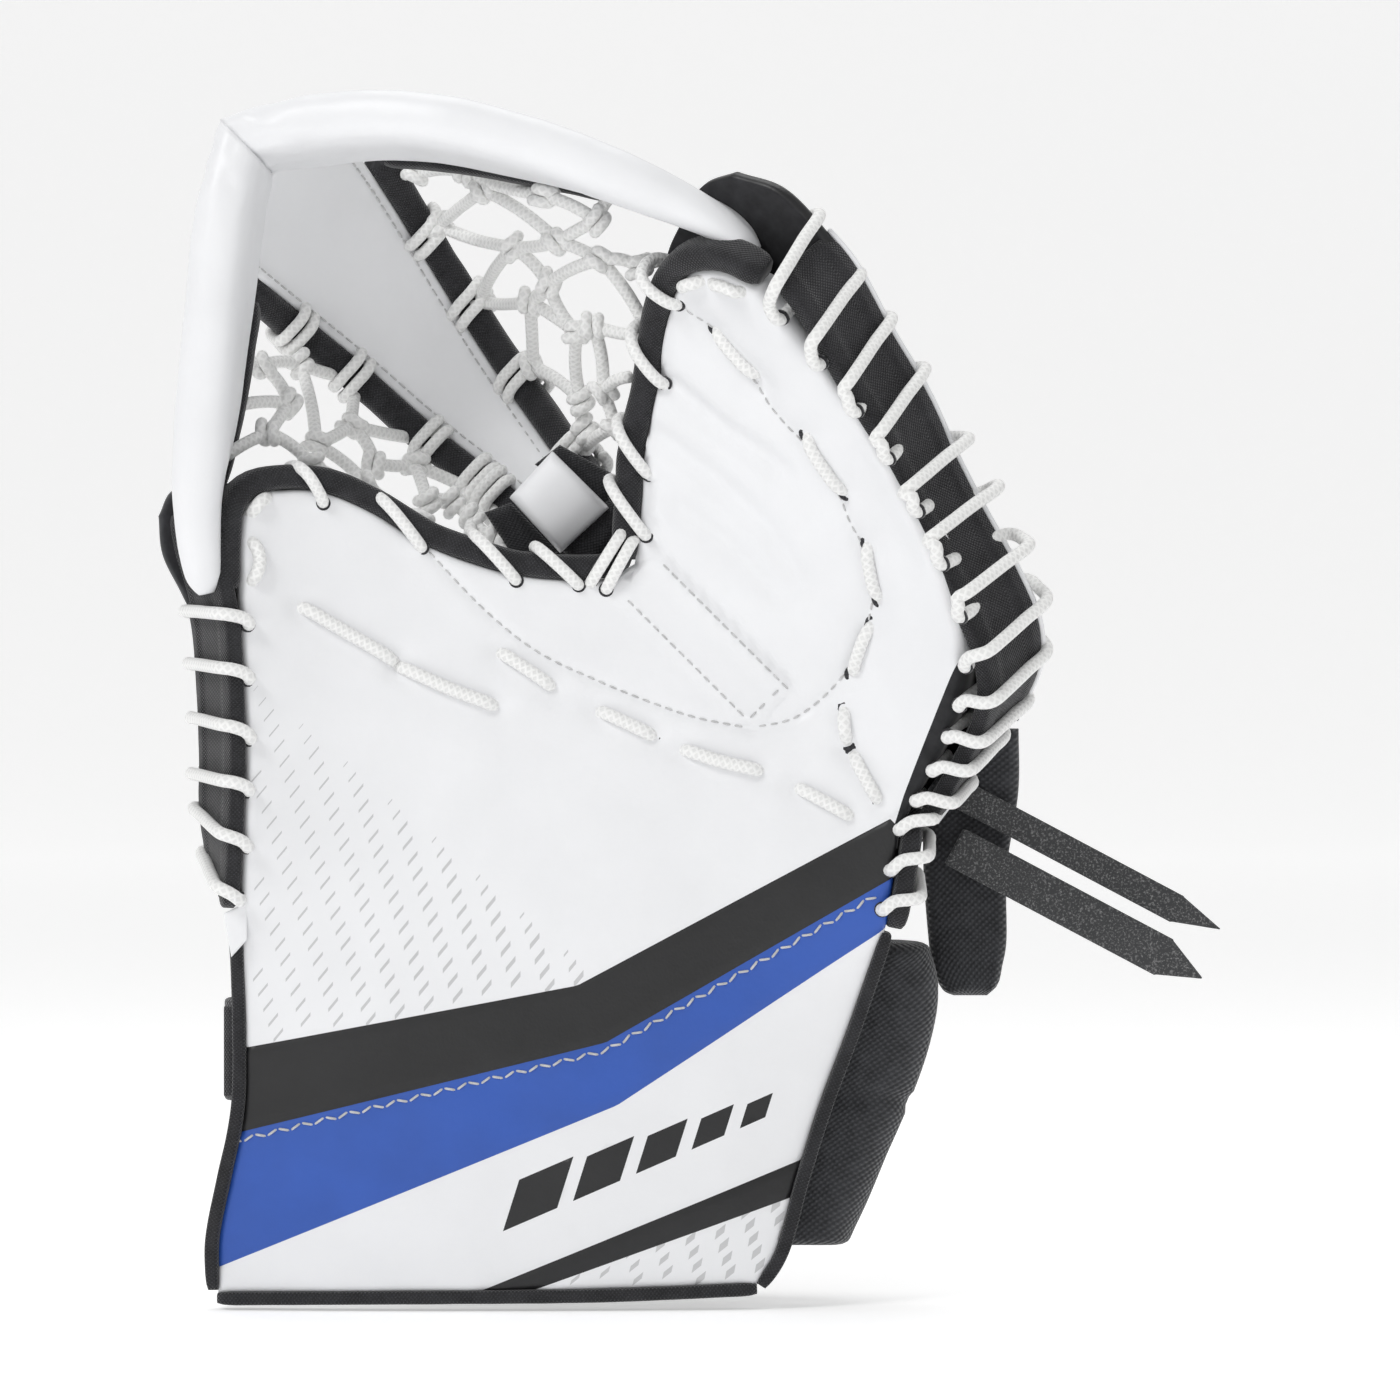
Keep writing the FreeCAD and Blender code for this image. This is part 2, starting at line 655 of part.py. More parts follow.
# Strands across the pocket's halves: place along the fold, rim end across it.
# Strands along it: from, to, offset across it.
THUMB_ACROSS = [(306, -42), (288, -54), (268, -68), (248, -62), (229, -54), (211, -43), (194, -34)]
THUMB_ALONG = [(222, 314, -37), (212, 306, -45), (238, 297, -53.5), (252, 286, -62)]
FINGER_ACROSS = [(298, 52), (280, 62), (262, 69), (244, 73), (226, 66), (208, 42)]
FINGER_ALONG = [(222, 270, 37), (208, 299, 46), (218, 289, 54.5), (228, 275, 63), (240, 263, 70)]


def nets():
    for name, sign, rim, width, across, along_stem in (
        ("net_thumb", -1, -24, 46, THUMB_ACROSS, THUMB_ALONG),
        ("net_finger", 1, -36, 50, FINGER_ACROSS, FINGER_ALONG),
    ):
        strands = []
        for u, v_end in across:
            offset, _, half = stem_at(u)
            v_start = offset + sign * (half + STRAND_R + 0.5)
            strands.append(strand((u, v_start), (u, v_end), sign, rim, width, -3.4))
        for u0, u1, v in along_stem:
            strands.append(strand((u0, v), (u1, v), sign, rim, width, 3.4))
        save(name, *strands)


# ---- laces ---------------------------------------------------------------------------------------

# Visible runs of the tie laces that hold the palm's and the fingers' padding
PALM_TIES = [[(-76.3, 242.9), (-43, 223.3), (-8.4, 207.9)], [(-7.4, 227.1), (11.5, 214.6)],
             [(27.3, 206.5), (46.9, 197.4)], [(56.7, 192.9), (84.5, 185.2)], [(97, 179.6), (116, 169.2)]]
FINGER_TIES = [[(66.5, 337.2), (81.5, 320.6)], [(99.2, 301.4), (112.6, 281.1)], [(120, 263.6), (124, 244.3)],
               [(121.2, 235.6), (115.4, 218.4)], [(113.1, 206.5), (114.2, 195)]]


def laces():
    finger = frames_on_surface(FINGER_EDGE, 1, FINGER_TURNS)
    save("finger_edge_lace", edge_lace(finger[1:-1], 4.2, 8, 35.6))
    thumb = frames_on_surface(THUMB_EDGE, 1, THUMB_TURNS)
    save("thumb_edge_lace", edge_lace(thumb[:-1], 3.5, 6, 35.6))
    heel = frames_on_surface(HEEL_EDGE, 1, HEEL_TURNS)
    save("heel_lace", edge_lace(heel[1:], 3.7, 7, 35.6))
    save("palm_tie_laces", *[lace_run(run) for run in PALM_TIES])
    save("finger_tie_laces", *[lace_run(run) for run in FINGER_TIES])


# ---- fold ----------------------------------------------------------------------------------------

def break_strip():
    """The thin leather strip over the break, from the crotch to the heel."""
    corners = [from_uv(u, v) for u, v in ((147, -12.5), (82, -12.5), (82, 8.5), (147, 8.5))]
    rows = []
    for i in range(8):
        u = 75 + i * 11
        rows.append([surface_point(*from_uv(u, -16 + k * 4)) for k in range(8)])
    surface = Part.BSplineSurface()
    surface.interpolate(rows)
    face = trimmed(surface.toShape(), polygon(corners))
    strip = layer(face, 0, 0.9)
    strip.translate(Vector(0, -1.5, 0))
    save("break_strip", strip)


# ---- wrist and straps ----------------------------------------------------------------------------

def grid_layer(rows, thickness, away_from):
    """A sheet of even thickness on a grid of points, thickened towards a place."""
    surface = Part.BSplineSurface()
    surface.interpolate(rows)
    face = surface.toShape()
    solids = [as_solid(face.makeOffsetShape(t, 0.01, fill=True)) for t in (thickness, -thickness)]
    solids.sort(key=lambda s: (s.CenterOfMass - away_from).Length)
    return solids[0]


# The wrist pad's outside at each height: height, free front edge's x, side's x, back's depth
WRIST_ROWS = [(17, 90, 114, 28), (32, 92, 121, 34), (50, 96, 129, 39), (70, 102, 138, 42), (90, 108, 145, 44),
              (108, 114, 147, 44), (124, 120, 143, 43)]


def wrist_outline(front, side_x, depth):
    """The outside of the wrist pad in plan, from the cuff's free edge round to the middle of the back."""
    return [(front, -19), (front + 0.7 * (side_x - front), -14), (side_x, 2), (side_x - 8, depth * 0.55),
            (side_x - 28, depth * 0.85), (side_x - 52, depth * 0.96), (side_x - 78, depth),
            (side_x - 106, depth), (side_x - 134, depth - 1), (side_x - 162, depth - 4)]


def wrist():
    rows = []
    for z, front, side_x, depth in WRIST_ROWS:
        rows.append([Vector(x, y, z) for x, y in wrist_outline(front, side_x, depth)])
    save("wrist_pad", grid_layer(rows, 11, Vector(30, 0, 70)))
    strap = [(-101.5, -14), (-107, -3), (-104, 14), (-88, 29), (-58, 40), (-24, 46.5), (12, 48.5), (44, 48.2)]
    rows = [[Vector(x, y, z) for x, y in strap] for z in (68, 80, 92, 104)]
    save("wrist_strap", grid_layer(rows, 2.4, Vector(0, 90, 86)))
    tab = [(-96, -22), (-100.5, -20.4), (-103.5, -17.2)]
    rows = [[Vector(x, y, z) for x, y in tab] for z in (70, 80, 92, 102)]
    save("strap_anchor", grid_layer(rows, 3.0, Vector(-200, -60, 86)))
    hand = [(-64, -5.5), (-36, 3.4), (-4, 10), (28, 12.5), (60, 12), (92, 8.5), (123.6, 4)]
    rows = [[Vector(x, y, z) for x, y in hand] for z in (150, 161, 172, 183)]
    save("hand_strap", grid_layer(rows, 3.0, Vector(0, -200, 166)))


# Adjusting straps: middle of the root, middle of the tip's shoulders, point, width
STRAPS = {
    "strap_upper": ((152, 178.5), (233, 135.5), (248.9, 128.1), 10.5, 6),
    "strap_lower": ((147, 161.5), (228, 118.5), (242, 110.8), 14.5, 1),
}


def straps():
    for name, (root, shoulder, point, width, y) in STRAPS.items():
        run = Vector(shoulder[0] - root[0], 0, shoulder[1] - root[1]).normalize()
        across = Vector(-run.z, 0, run.x) * (width / 2)
        a = Vector(root[0], y, root[1])
        b = Vector(shoulder[0], y, shoulder[1])
        tip = Vector(point[0], y, point[1])
        loop = [a + across, b + across, tip, b - across, a - across]
        face = Part.Face(Part.makePolygon(loop + [loop[0]]))
        save(name, face.extrude(Vector(0, 2.4, 0)))
    save("strap_keeper", box(124, 143.2, -0.5, 9.5, 158.5, 186))


def main():
    os.makedirs(OUT, exist_ok=True)
    palm, wing = build_faces()
    palm_half(palm)
    finger_half(wing)
    thumb_back()
    backhand(palm)
    finger_back()
    flaps()
    bindings()
    cuff_trim()
    gussets()
    break_strip()
    t_stem()
    t_arms()
    nets()
    laces()
    wrist()
    straps()


main()
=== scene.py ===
"""Goalie catch glove: the visible pieces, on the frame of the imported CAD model.

Places are in millimetres, in the frame of part.py, until a mesh is made, which is in metres.
"""

import math

import bpy
import numpy as np
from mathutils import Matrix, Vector
from mathutils.geometry import delaunay_2d_cdt
from mathutils.noise import noise


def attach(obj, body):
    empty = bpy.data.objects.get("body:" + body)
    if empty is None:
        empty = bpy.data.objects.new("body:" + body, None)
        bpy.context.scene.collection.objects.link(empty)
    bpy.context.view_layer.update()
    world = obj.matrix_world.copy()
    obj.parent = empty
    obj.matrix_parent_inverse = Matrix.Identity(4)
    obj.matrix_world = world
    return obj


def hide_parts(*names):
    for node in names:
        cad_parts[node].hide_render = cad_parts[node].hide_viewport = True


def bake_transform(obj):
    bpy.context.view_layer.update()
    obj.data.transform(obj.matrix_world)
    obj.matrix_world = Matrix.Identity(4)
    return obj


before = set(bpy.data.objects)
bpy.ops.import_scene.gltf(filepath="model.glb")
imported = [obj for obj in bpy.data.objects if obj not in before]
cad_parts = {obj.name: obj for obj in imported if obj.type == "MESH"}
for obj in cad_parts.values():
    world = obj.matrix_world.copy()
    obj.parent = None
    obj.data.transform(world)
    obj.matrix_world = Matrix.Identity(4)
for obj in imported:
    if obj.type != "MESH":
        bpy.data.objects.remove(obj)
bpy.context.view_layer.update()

MM = 0.001
SQ2 = math.sqrt(2.0)

# Driving dimensions of the catching side, as in part.py
CUFF_Y = -40.0
FOLD_SUM = 298.0
HEEL_U = 22.6
CROTCH_U = 154.0
HEEL_DEPTH = 2.0
CROTCH_DEPTH = 10.0
PALM_SPAN = 72.0
WING_CURVE = 0.006
THUMB_CURL = 14.0
CUFF_CURL = 0.0006
CORNER_V = 7.0
LACE_R = 2.3
KNOT_R = 2.1             # cord pulled tight in a knot
BAND_DEPTH = 35.2        # the laced bands' rear edge, behind the catching surface
BLEND_SPAN = 30.0        # the distance across the fold in ON_PALM and ON_FINGERS; bend doesn't use it


# ---- the catching surface --------------------------------------------------------------------------

def ease(t):
    t = np.clip(t, 0, 1)
    return t * t * (3 - 2 * t)


def fold_uv(x, z):
    return (z - x) / SQ2, (x + z - FOLD_SUM) / SQ2


def from_uv(u, v):
    total = v * SQ2 + FOLD_SUM
    return (total - u * SQ2) / 2, (total + u * SQ2) / 2


def catch_y(x, z):
    """Depth of the catching surface at places in the front view."""
    u, v = fold_uv(x, z)
    share = ease((u - HEEL_U + 20) / (CROTCH_U - HEEL_U + 40))
    depth = HEEL_DEPTH + (CROTCH_DEPTH - HEEL_DEPTH) * share
    wing = depth - (WING_CURVE + 0.0045 * ease((110 - u) / 90)) * v * v
    thumb = THUMB_CURL * (np.maximum(0, -30 - x) / 66) ** 2 * ease((z - 90) / 90)
    cuff = CUFF_CURL * (x + 12) ** 2 * ease((170 - z) / 110)
    palm = depth * np.exp(-((v / PALM_SPAN) ** 2)) - thumb + cuff
    return CUFF_Y + np.where(v >= 0, wing, palm)


def surface(x, z):
    x, z = np.asarray(x, float), np.asarray(z, float)
    return np.stack([x, catch_y(x, z), z], -1)


def unit(a):
    return a / np.linalg.norm(a, axis=-1, keepdims=True)


def back_normal(x, z, step=0.5):
    """Unit normals of the catching surface, pointing to the glove's back."""
    x, z = np.asarray(x, float), np.asarray(z, float)
    dx = (catch_y(x + step, z) - catch_y(x - step, z)) / (2 * step)
    dz = (catch_y(x, z + step) - catch_y(x, z - step)) / (2 * step)
    return unit(np.stack([-dx, np.ones_like(dx), -dz], -1))


def wave(points, size, seed=0.0):
    """Smooth noise in -1..1 at points, with lumps of about that size in millimetres."""
    return np.array([noise(Vector(p) / size + Vector((seed, 2 * seed, -seed))) for p in points])


# ---- lines -----------------------------------------------------------------------------------------

def lengths_of(line):
    """The running length at each point of a line."""
    return np.r_[0, np.cumsum(np.linalg.norm(np.diff(line, axis=0), axis=1))]


def places_at(line, lengths, at):
    """Places along a line at running lengths."""
    return np.stack([np.interp(at, lengths, line[:, k]) for k in range(line.shape[1])], 1)


def spline(a, b, c, d, t):
    """A place between b and c on the smooth line through four points."""
    bent = (2 * a - 5 * b + 4 * c - d) * t * t + (3 * b - a - 3 * c + d) * t ** 3
    return 0.5 * (2 * b + (c - a) * t + bent)


def smooth(points, step=2.0):
    """Evenly spaced places along a smooth line through the points."""
    at = [np.array(p, float) for p in points]
    ends = [2 * at[0] - at[1], *at, 2 * at[-1] - at[-2]]
    fine = []
    for a, b, c, d in zip(ends, ends[1:], ends[2:], ends[3:]):
        fine += [spline(a, b, c, d, t) for t in np.arange(0, 1, 1 / 16)]
    return even(np.array([*fine, at[-1]]), step)


def even(line, step):
    """The same line with evenly spaced points."""
    lengths = lengths_of(line)
    return places_at(line, lengths, np.linspace(0, lengths[-1], max(3, round(lengths[-1] / step) + 1)))


def straight(*points):
    """Evenly spaced places along straight runs between the points."""
    return even(np.array(points, float), 2.0)


def distance(points, line):
    """Distance from each point to a line through places, in two dimensions."""
    best = np.full(len(points), 1e9)
    for a, b in zip(line, line[1:]):
        along = b - a
        t = np.clip(((points - a) @ along) / max(along @ along, 1e-9), 0, 1)
        best = np.minimum(best, np.linalg.norm(points - a - t[:, None] * along, axis=1))
    return best


def contains(loop, points):
    inside = np.zeros(len(points), bool)
    x, z = points[:, 0], points[:, 1]
    for (ax, az), (bx, bz) in zip(loop, np.roll(loop, -1, axis=0)):
        if az != bz:
            crosses = (az > z) != (bz > z)
            inside ^= crosses & (x < (bx - ax) * (z - az) / (bz - az) + ax)
    return inside


def area(loop):
    """Signed area of a loop, positive when it runs anticlockwise."""
    x, z = loop[:, 0], loop[:, 1]
    return np.sum(x * np.roll(z, -1) - np.roll(x, -1) * z) / 2


def inward(loop):
    """Unit vectors in two dimensions from each point of a loop to its inside."""
    run = unit(np.roll(loop, -1, axis=0) - np.roll(loop, 1, axis=0))
    return np.sign(area(loop)) * np.stack([-run[:, 1], run[:, 0]], 1)


def joined(sides, step=1.6):
    """One loop from an outline's sides, which keep their corners."""
    parts = []
    for side in sides:
        line = smooth(side, step) if len(side) > 2 else even(np.array(side, float), step)
        parts.append(line[:-1])
    return np.concatenate(parts)


# ---- meshes ----------------------------------------------------------------------------------------

def new_object(name, verts, faces, materials, slots=None, uvs=None):
    """A smooth-shaded mesh object from places in millimetres."""
    mesh = bpy.data.meshes.new(name)
    mesh.from_pydata((np.asarray(verts) * MM).tolist(), [], faces)
    mesh.polygons.foreach_set("use_smooth", [True] * len(mesh.polygons))
    for material in materials:
        mesh.materials.append(material)
    if slots is not None:
        mesh.polygons.foreach_set("material_index", np.asarray(slots, np.int32))
    if uvs is not None:
        layer = mesh.uv_layers.new(name="run")
        layer.data.foreach_set("uv", np.asarray(uvs, np.float32).ravel())
    mesh.update()
    obj = bpy.data.objects.new(name, mesh)
    bpy.context.scene.collection.objects.link(obj)
    return obj


class Shell:
    """Collects lofted strips and tubes into one mesh; its UVs are millimetres along and round."""

    def __init__(self):
        self.verts, self.faces, self.slots, self.uvs = [], [], [], []

    def loft(self, rings, slot=0):
        """A closed strip through rings of places, with a cap at each end."""
        rings = np.asarray(rings, float)
        count, round_ = rings.shape[:2]
        start = len(self.verts)
        self.verts.extend(rings.reshape(-1, 3))
        middle = rings.mean(1)
        run = lengths_of(middle)
        hoop = np.linalg.norm(np.diff(rings[count // 2], axis=0, append=rings[count // 2][:1]), axis=1)
        across = np.r_[0, np.cumsum(hoop)]
        for i in range(count - 1):
            for k in range(round_):
                a, b = start + i * round_ + k, start + i * round_ + (k + 1) % round_
                self.faces.append((a, b, b + round_, a + round_))
                self.slots.append(slot)
                self.uvs += [(run[i], across[k]), (run[i], across[k + 1]),
                             (run[i + 1], across[k + 1]), (run[i + 1], across[k])]
        for ring, flip in ((0, True), (count - 1, False)):
            centre = len(self.verts)
            self.verts.append(middle[ring])
            for k in range(round_):
                a, b = start + ring * round_ + k, start + ring * round_ + (k + 1) % round_
                self.faces.append((b, a, centre) if flip else (a, b, centre))
                self.slots.append(slot)
                self.uvs += [(run[ring], across[k])] * 3

    def tube(self, path, radius, slot=0, sides=10):
        """A round cord along a path; the radius may change along it. Its ends are rounded."""
        path = np.asarray(path, float)
        radius = np.broadcast_to(np.asarray(radius, float), (len(path),)).copy()
        runs = unit(np.gradient(path, axis=0))
        first, last = path[0] - runs[0] * radius[0] * 0.5, path[-1] + runs[-1] * radius[-1] * 0.5
        path = np.vstack([first, path, last])
        runs = np.vstack([runs[:1], runs, runs[-1:]])
        radius = np.r_[radius[0] * 0.45, radius, radius[-1] * 0.45]
        side = np.cross(runs[0], (0.31, 0.62, 0.72))
        rings = []
        angles = np.arange(sides) * 2 * math.pi / sides
        for place, run, r in zip(path, runs, radius):
            side = unit(side - run * (side @ run))
            other = np.cross(run, side)
            rings.append(place + r * (np.cos(angles)[:, None] * side + np.sin(angles)[:, None] * other))
        self.loft(rings, slot)

    def make(self, name, *materials):
        return new_object(name, self.verts, self.faces, materials, self.slots, self.uvs)


def hex_grid(low, high, spacing):
    rows = []
    for i, z in enumerate(np.arange(low[1], high[1], spacing * 0.866)):
        xs = np.arange(low[0] + (i % 2) * spacing / 2, high[0], spacing)
        rows.append(np.stack([xs, np.full(len(xs), z)], 1))
    return np.concatenate(rows)


def triangulate(loop, seams, prints, spacing):
    """Triangles over an outline, finer along its edge and along the seams, and split round the prints.

    Returns the places, the triangles and whether each is printed."""
    edge_rows, seam_rows = (0.8, 1.8, 3.2), (0.7, 1.6)
    if area(loop) < 0:
        loop = loop[::-1]
    closed = np.vstack([loop, loop[:1]])
    grid = hex_grid(loop.min(0), loop.max(0), spacing)
    grid = grid[contains(loop, grid)]
    keep = distance(grid, closed) > edge_rows[-1] + spacing * 0.6
    for seam in seams:
        keep &= distance(grid, seam) > seam_rows[-1] + spacing * 0.5
    free = [grid[keep]]
    for row in edge_rows:
        points = loop + inward(loop) * row
        points = points[contains(loop, points)]
        free.append(points[distance(points, closed) > row * 0.93])
    for seam in seams:
        run = unit(np.gradient(seam, axis=0))
        side = np.stack([-run[:, 1], run[:, 0]], 1)
        for row in (*seam_rows, *(-r for r in seam_rows)):
            points = seam + side * row
            points = points[contains(loop, points)]
            points = points[distance(points, closed) > edge_rows[-1] + 0.5]
            others = [s for s in seams if s is not seam]
            for other in others:
                points = points[distance(points, other) > 1.2] if len(points) else points
            free.append(points)
    verts = [Vector(p) for p in loop] + [Vector(p) for part in free for p in part]
    edges, faces = [], [list(range(len(loop)))]
    for seam in seams:
        start = len(verts)
        verts += [Vector(p) for p in seam]
        edges += [(start + i, start + i + 1) for i in range(len(seam) - 1)]
    for corners in prints:
        faces.append(list(range(len(verts), len(verts) + len(corners))))
        verts += [Vector(p) for p in corners]
    out, _, tris, _, _, ids = delaunay_2d_cdt(verts, edges, faces, 1, 1e-4)
    kept, printed = [], []
    for tri, faces_here in zip(tris, ids):
        if 0 in faces_here:
            kept.append(tri)
            printed.append(len(faces_here) > 1)
    return np.array([tuple(p) for p in out]), kept, np.array(printed)


def panel(name, loop, near, far, lift, paint, materials, seams=(), prints=(), spacing=2.4, outer="front"):
    """A padded sheet between two distances behind the catching surface.

    lift(x, z) raises its outer face, and paint(x, z, printed) picks each outer face's material slot.
    The last material is the other side's."""
    places, tris, printed = triangulate(loop, list(seams), list(prints), spacing)
    used = np.unique(np.array(tris))
    number = np.full(len(places), -1)
    number[used] = np.arange(len(used))
    places, tris = places[used], [tuple(int(number[v]) for v in tri) for tri in tris]
    x, z = places[:, 0], places[:, 1]
    base, normal = surface(x, z), back_normal(x, z)
    raised = lift(x, z)[:, None]
    front = base + normal * (near - (raised if outer == "front" else 0))
    back = base + normal * (far + (raised if outer == "back" else 0))
    count = len(places)
    centre = places[np.array(tris)].mean(1)
    outer_slots = paint(centre[:, 0], centre[:, 1], printed).astype(int)
    plain = np.full(len(tris), len(materials) - 1)
    faces = [tuple(t) for t in tris] + [(t[2] + count, t[1] + count, t[0] + count) for t in tris]
    slots = [outer_slots, plain] if outer == "front" else [plain, outer_slots]
    directed = {(t[i], t[(i + 1) % 3]) for t in tris for i in range(3)}
    rim = [(a, b) for a, b in directed if (b, a) not in directed]
    faces += [(b, a, a + count, b + count) for a, b in sorted(rim)]
    middle = np.array([(places[a] + places[b]) / 2 for a, b in sorted(rim)])
    slots.append(paint(middle[:, 0], middle[:, 1], np.zeros(len(rim), bool)).astype(int))
    obj = new_object(name, np.vstack([front, back]), faces, materials, np.concatenate(slots))
    steady_normals(obj, places, front if outer == "front" else None, lift, near)
    return obj


def steady_normals(obj, places, front, lift, near):
    """Points by the fold get the normals of the shape itself, so the two halves meet unseen."""
    if front is None:
        return
    normals = np.array([v.normal for v in obj.data.vertices])
    x, z = places[:, 0], places[:, 1]
    close = np.abs(fold_uv(x, z)[1]) < 6
    if not close.any():
        return
    x, z = x[close], z[close]

    def shape(x, z):
        return surface(x, z) + back_normal(x, z) * (near - lift(x, z)[:, None])

    along_x, along_z = shape(x + 0.4, z) - shape(x - 0.4, z), shape(x, z + 0.4) - shape(x, z - 0.4)
    normals[:len(places)][close] = unit(np.cross(along_x, along_z))
    obj.data.normals_split_custom_set_from_vertices(normals.tolist())


def spread(grid, across, along):
    """A smooth grid of places through a coarse one, at shares of the way across and along it."""
    rows = np.array([at_shares(row, across) for row in grid])
    return np.array([at_shares(column, along) for column in rows.transpose(1, 0, 2)]).transpose(1, 0, 2)


def at_shares(points, shares):
    line = smooth(points, 1.0)
    lengths = lengths_of(line)
    return places_at(line, lengths, np.asarray(shares) * lengths[-1])


def shares_of(length, step, edge):
    """Shares of a length, closer together within a rounded edge at each end."""
    near = edge * (1 - np.cos(np.linspace(0, math.pi / 2, 6)))
    middle = np.linspace(edge, length - edge, max(3, int((length - 2 * edge) / step)))
    return np.r_[near[:-1], middle, length - near[-2::-1]] / length


def pad(name, grid, thickness, materials, puff=None, edge=4.0, step=3.0):
    """A closed pad with rounded edges round a coarse grid of places on its middle surface.

    puff(s, t) swells it, s and t in millimetres across and along."""
    grid = np.asarray(grid, float)
    width = np.linalg.norm(np.diff(grid[len(grid) // 2], axis=0), axis=1).sum()
    height = np.linalg.norm(np.diff(grid[:, grid.shape[1] // 2], axis=0), axis=1).sum()
    across, along = shares_of(width, step, edge), shares_of(height, step, edge)
    places = spread(grid, across, along)
    du, dv = np.gradient(places, axis=1), np.gradient(places, axis=0)
    normal = unit(np.cross(du, dv))
    s, t = np.meshgrid(across * width, along * height)
    rim = np.minimum(np.minimum(s, width - s), np.minimum(t, height - t))
    inset = np.clip(1 - rim / edge, 0, 1)
    half = thickness / 2 * np.sqrt(np.maximum(0, 1 - inset ** 2))
    swell = puff(s, t, width, height) * (1 - inset ** 2) if puff else 0
    outer = places + normal * (half + swell)[..., None]
    inner = places - normal * half[..., None]
    rows, columns = s.shape
    index = np.arange(rows * columns).reshape(rows, columns)
    low = index.copy()
    low[1:-1, 1:-1] = rows * columns + np.arange((rows - 2) * (columns - 2)).reshape(rows - 2, columns - 2)
    verts = np.vstack([outer.reshape(-1, 3), inner[1:-1, 1:-1].reshape(-1, 3)])
    faces, slots, uvs = [], [], []
    for sheet, flip in ((index, False), (low, True)):
        for i in range(rows - 1):
            for k in range(columns - 1):
                quad = [(i, k), (i, k + 1), (i + 1, k + 1), (i + 1, k)]
                if flip:
                    quad.reverse()
                faces.append([int(sheet[q]) for q in quad])
                uvs += [(s[q], t[q]) for q in quad]
                slots.append(len(materials) - 1 if flip else 0)
    return new_object(name, verts, faces, materials, slots, uvs)


def edge_frames(points, sign=1, step=2.0):
    """Places, outward and back directions along an edge of the catching surface."""
    line = smooth(points, step)
    place = surface(line[:, 0], line[:, 1])
    back = back_normal(line[:, 0], line[:, 1])
    outward = unit(np.cross(unit(np.gradient(place, axis=0)), back)) * sign
    return place, outward, back


def box_profile(width, height, outward, back, power=4.0, count=36):
    """A rounded box as (outward, back) places round its middle."""
    angle = 2 * math.pi * (np.arange(count) + 0.5) / count
    c, s = np.cos(angle), np.sin(angle)
    a = outward + width / 2 * np.sign(c) * np.abs(c) ** (2 / power)
    b = back + height / 2 * np.sign(s) * np.abs(s) ** (2 / power)
    return np.stack([a, b], 1)


def sweep(shell, frames, profile, lump=0.0, seed=0.0):
    """A strip with one profile along frames; its ends are drawn in."""
    place, outward, back = frames
    count = len(place)
    size = np.ones(count)
    for i, share in enumerate((0.72, 0.9, 0.97)):
        size[i] *= share
        size[-1 - i] *= share
    middle = (profile.max(0) + profile.min(0)) / 2
    rings = []
    for i in range(count):
        ring = middle + (profile - middle) * size[i]
        rings.append(place[i] + outward[i] * ring[:, :1] + back[i] * ring[:, 1:])
    rings = np.array(rings)
    if lump:
        centre = rings.mean(1, keepdims=True)
        raise_ = wave(rings.reshape(-1, 3), 11, seed).reshape(rings.shape[:2])
        rings += unit(rings - centre) * (lump * raise_)[..., None]
    shell.loft(rings)


def bend(obj, first, second, low, high):
    """Bakes the piece's transform into its mesh; first, second, low and high are not used."""
    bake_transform(obj)


# The two bodies and the two distances across the fold given for each half of the catching side
ON_PALM = ("palm", "t_stem", -BLEND_SPAN, 0)
ON_FINGERS = ("t_stem", "fingers", 0, BLEND_SPAN)


def held(obj, holder, slot, *nodes, fill=None):
    """Fixes a piece to its body, or bakes its transform when it has two, and hides the nodes it replaces;
    slot is not used.
    """
    if isinstance(holder, str):
        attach(obj, holder)
    else:
        bend(obj, *holder)
    if nodes:
        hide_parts(*nodes)


# ---- materials -------------------------------------------------------------------------------------

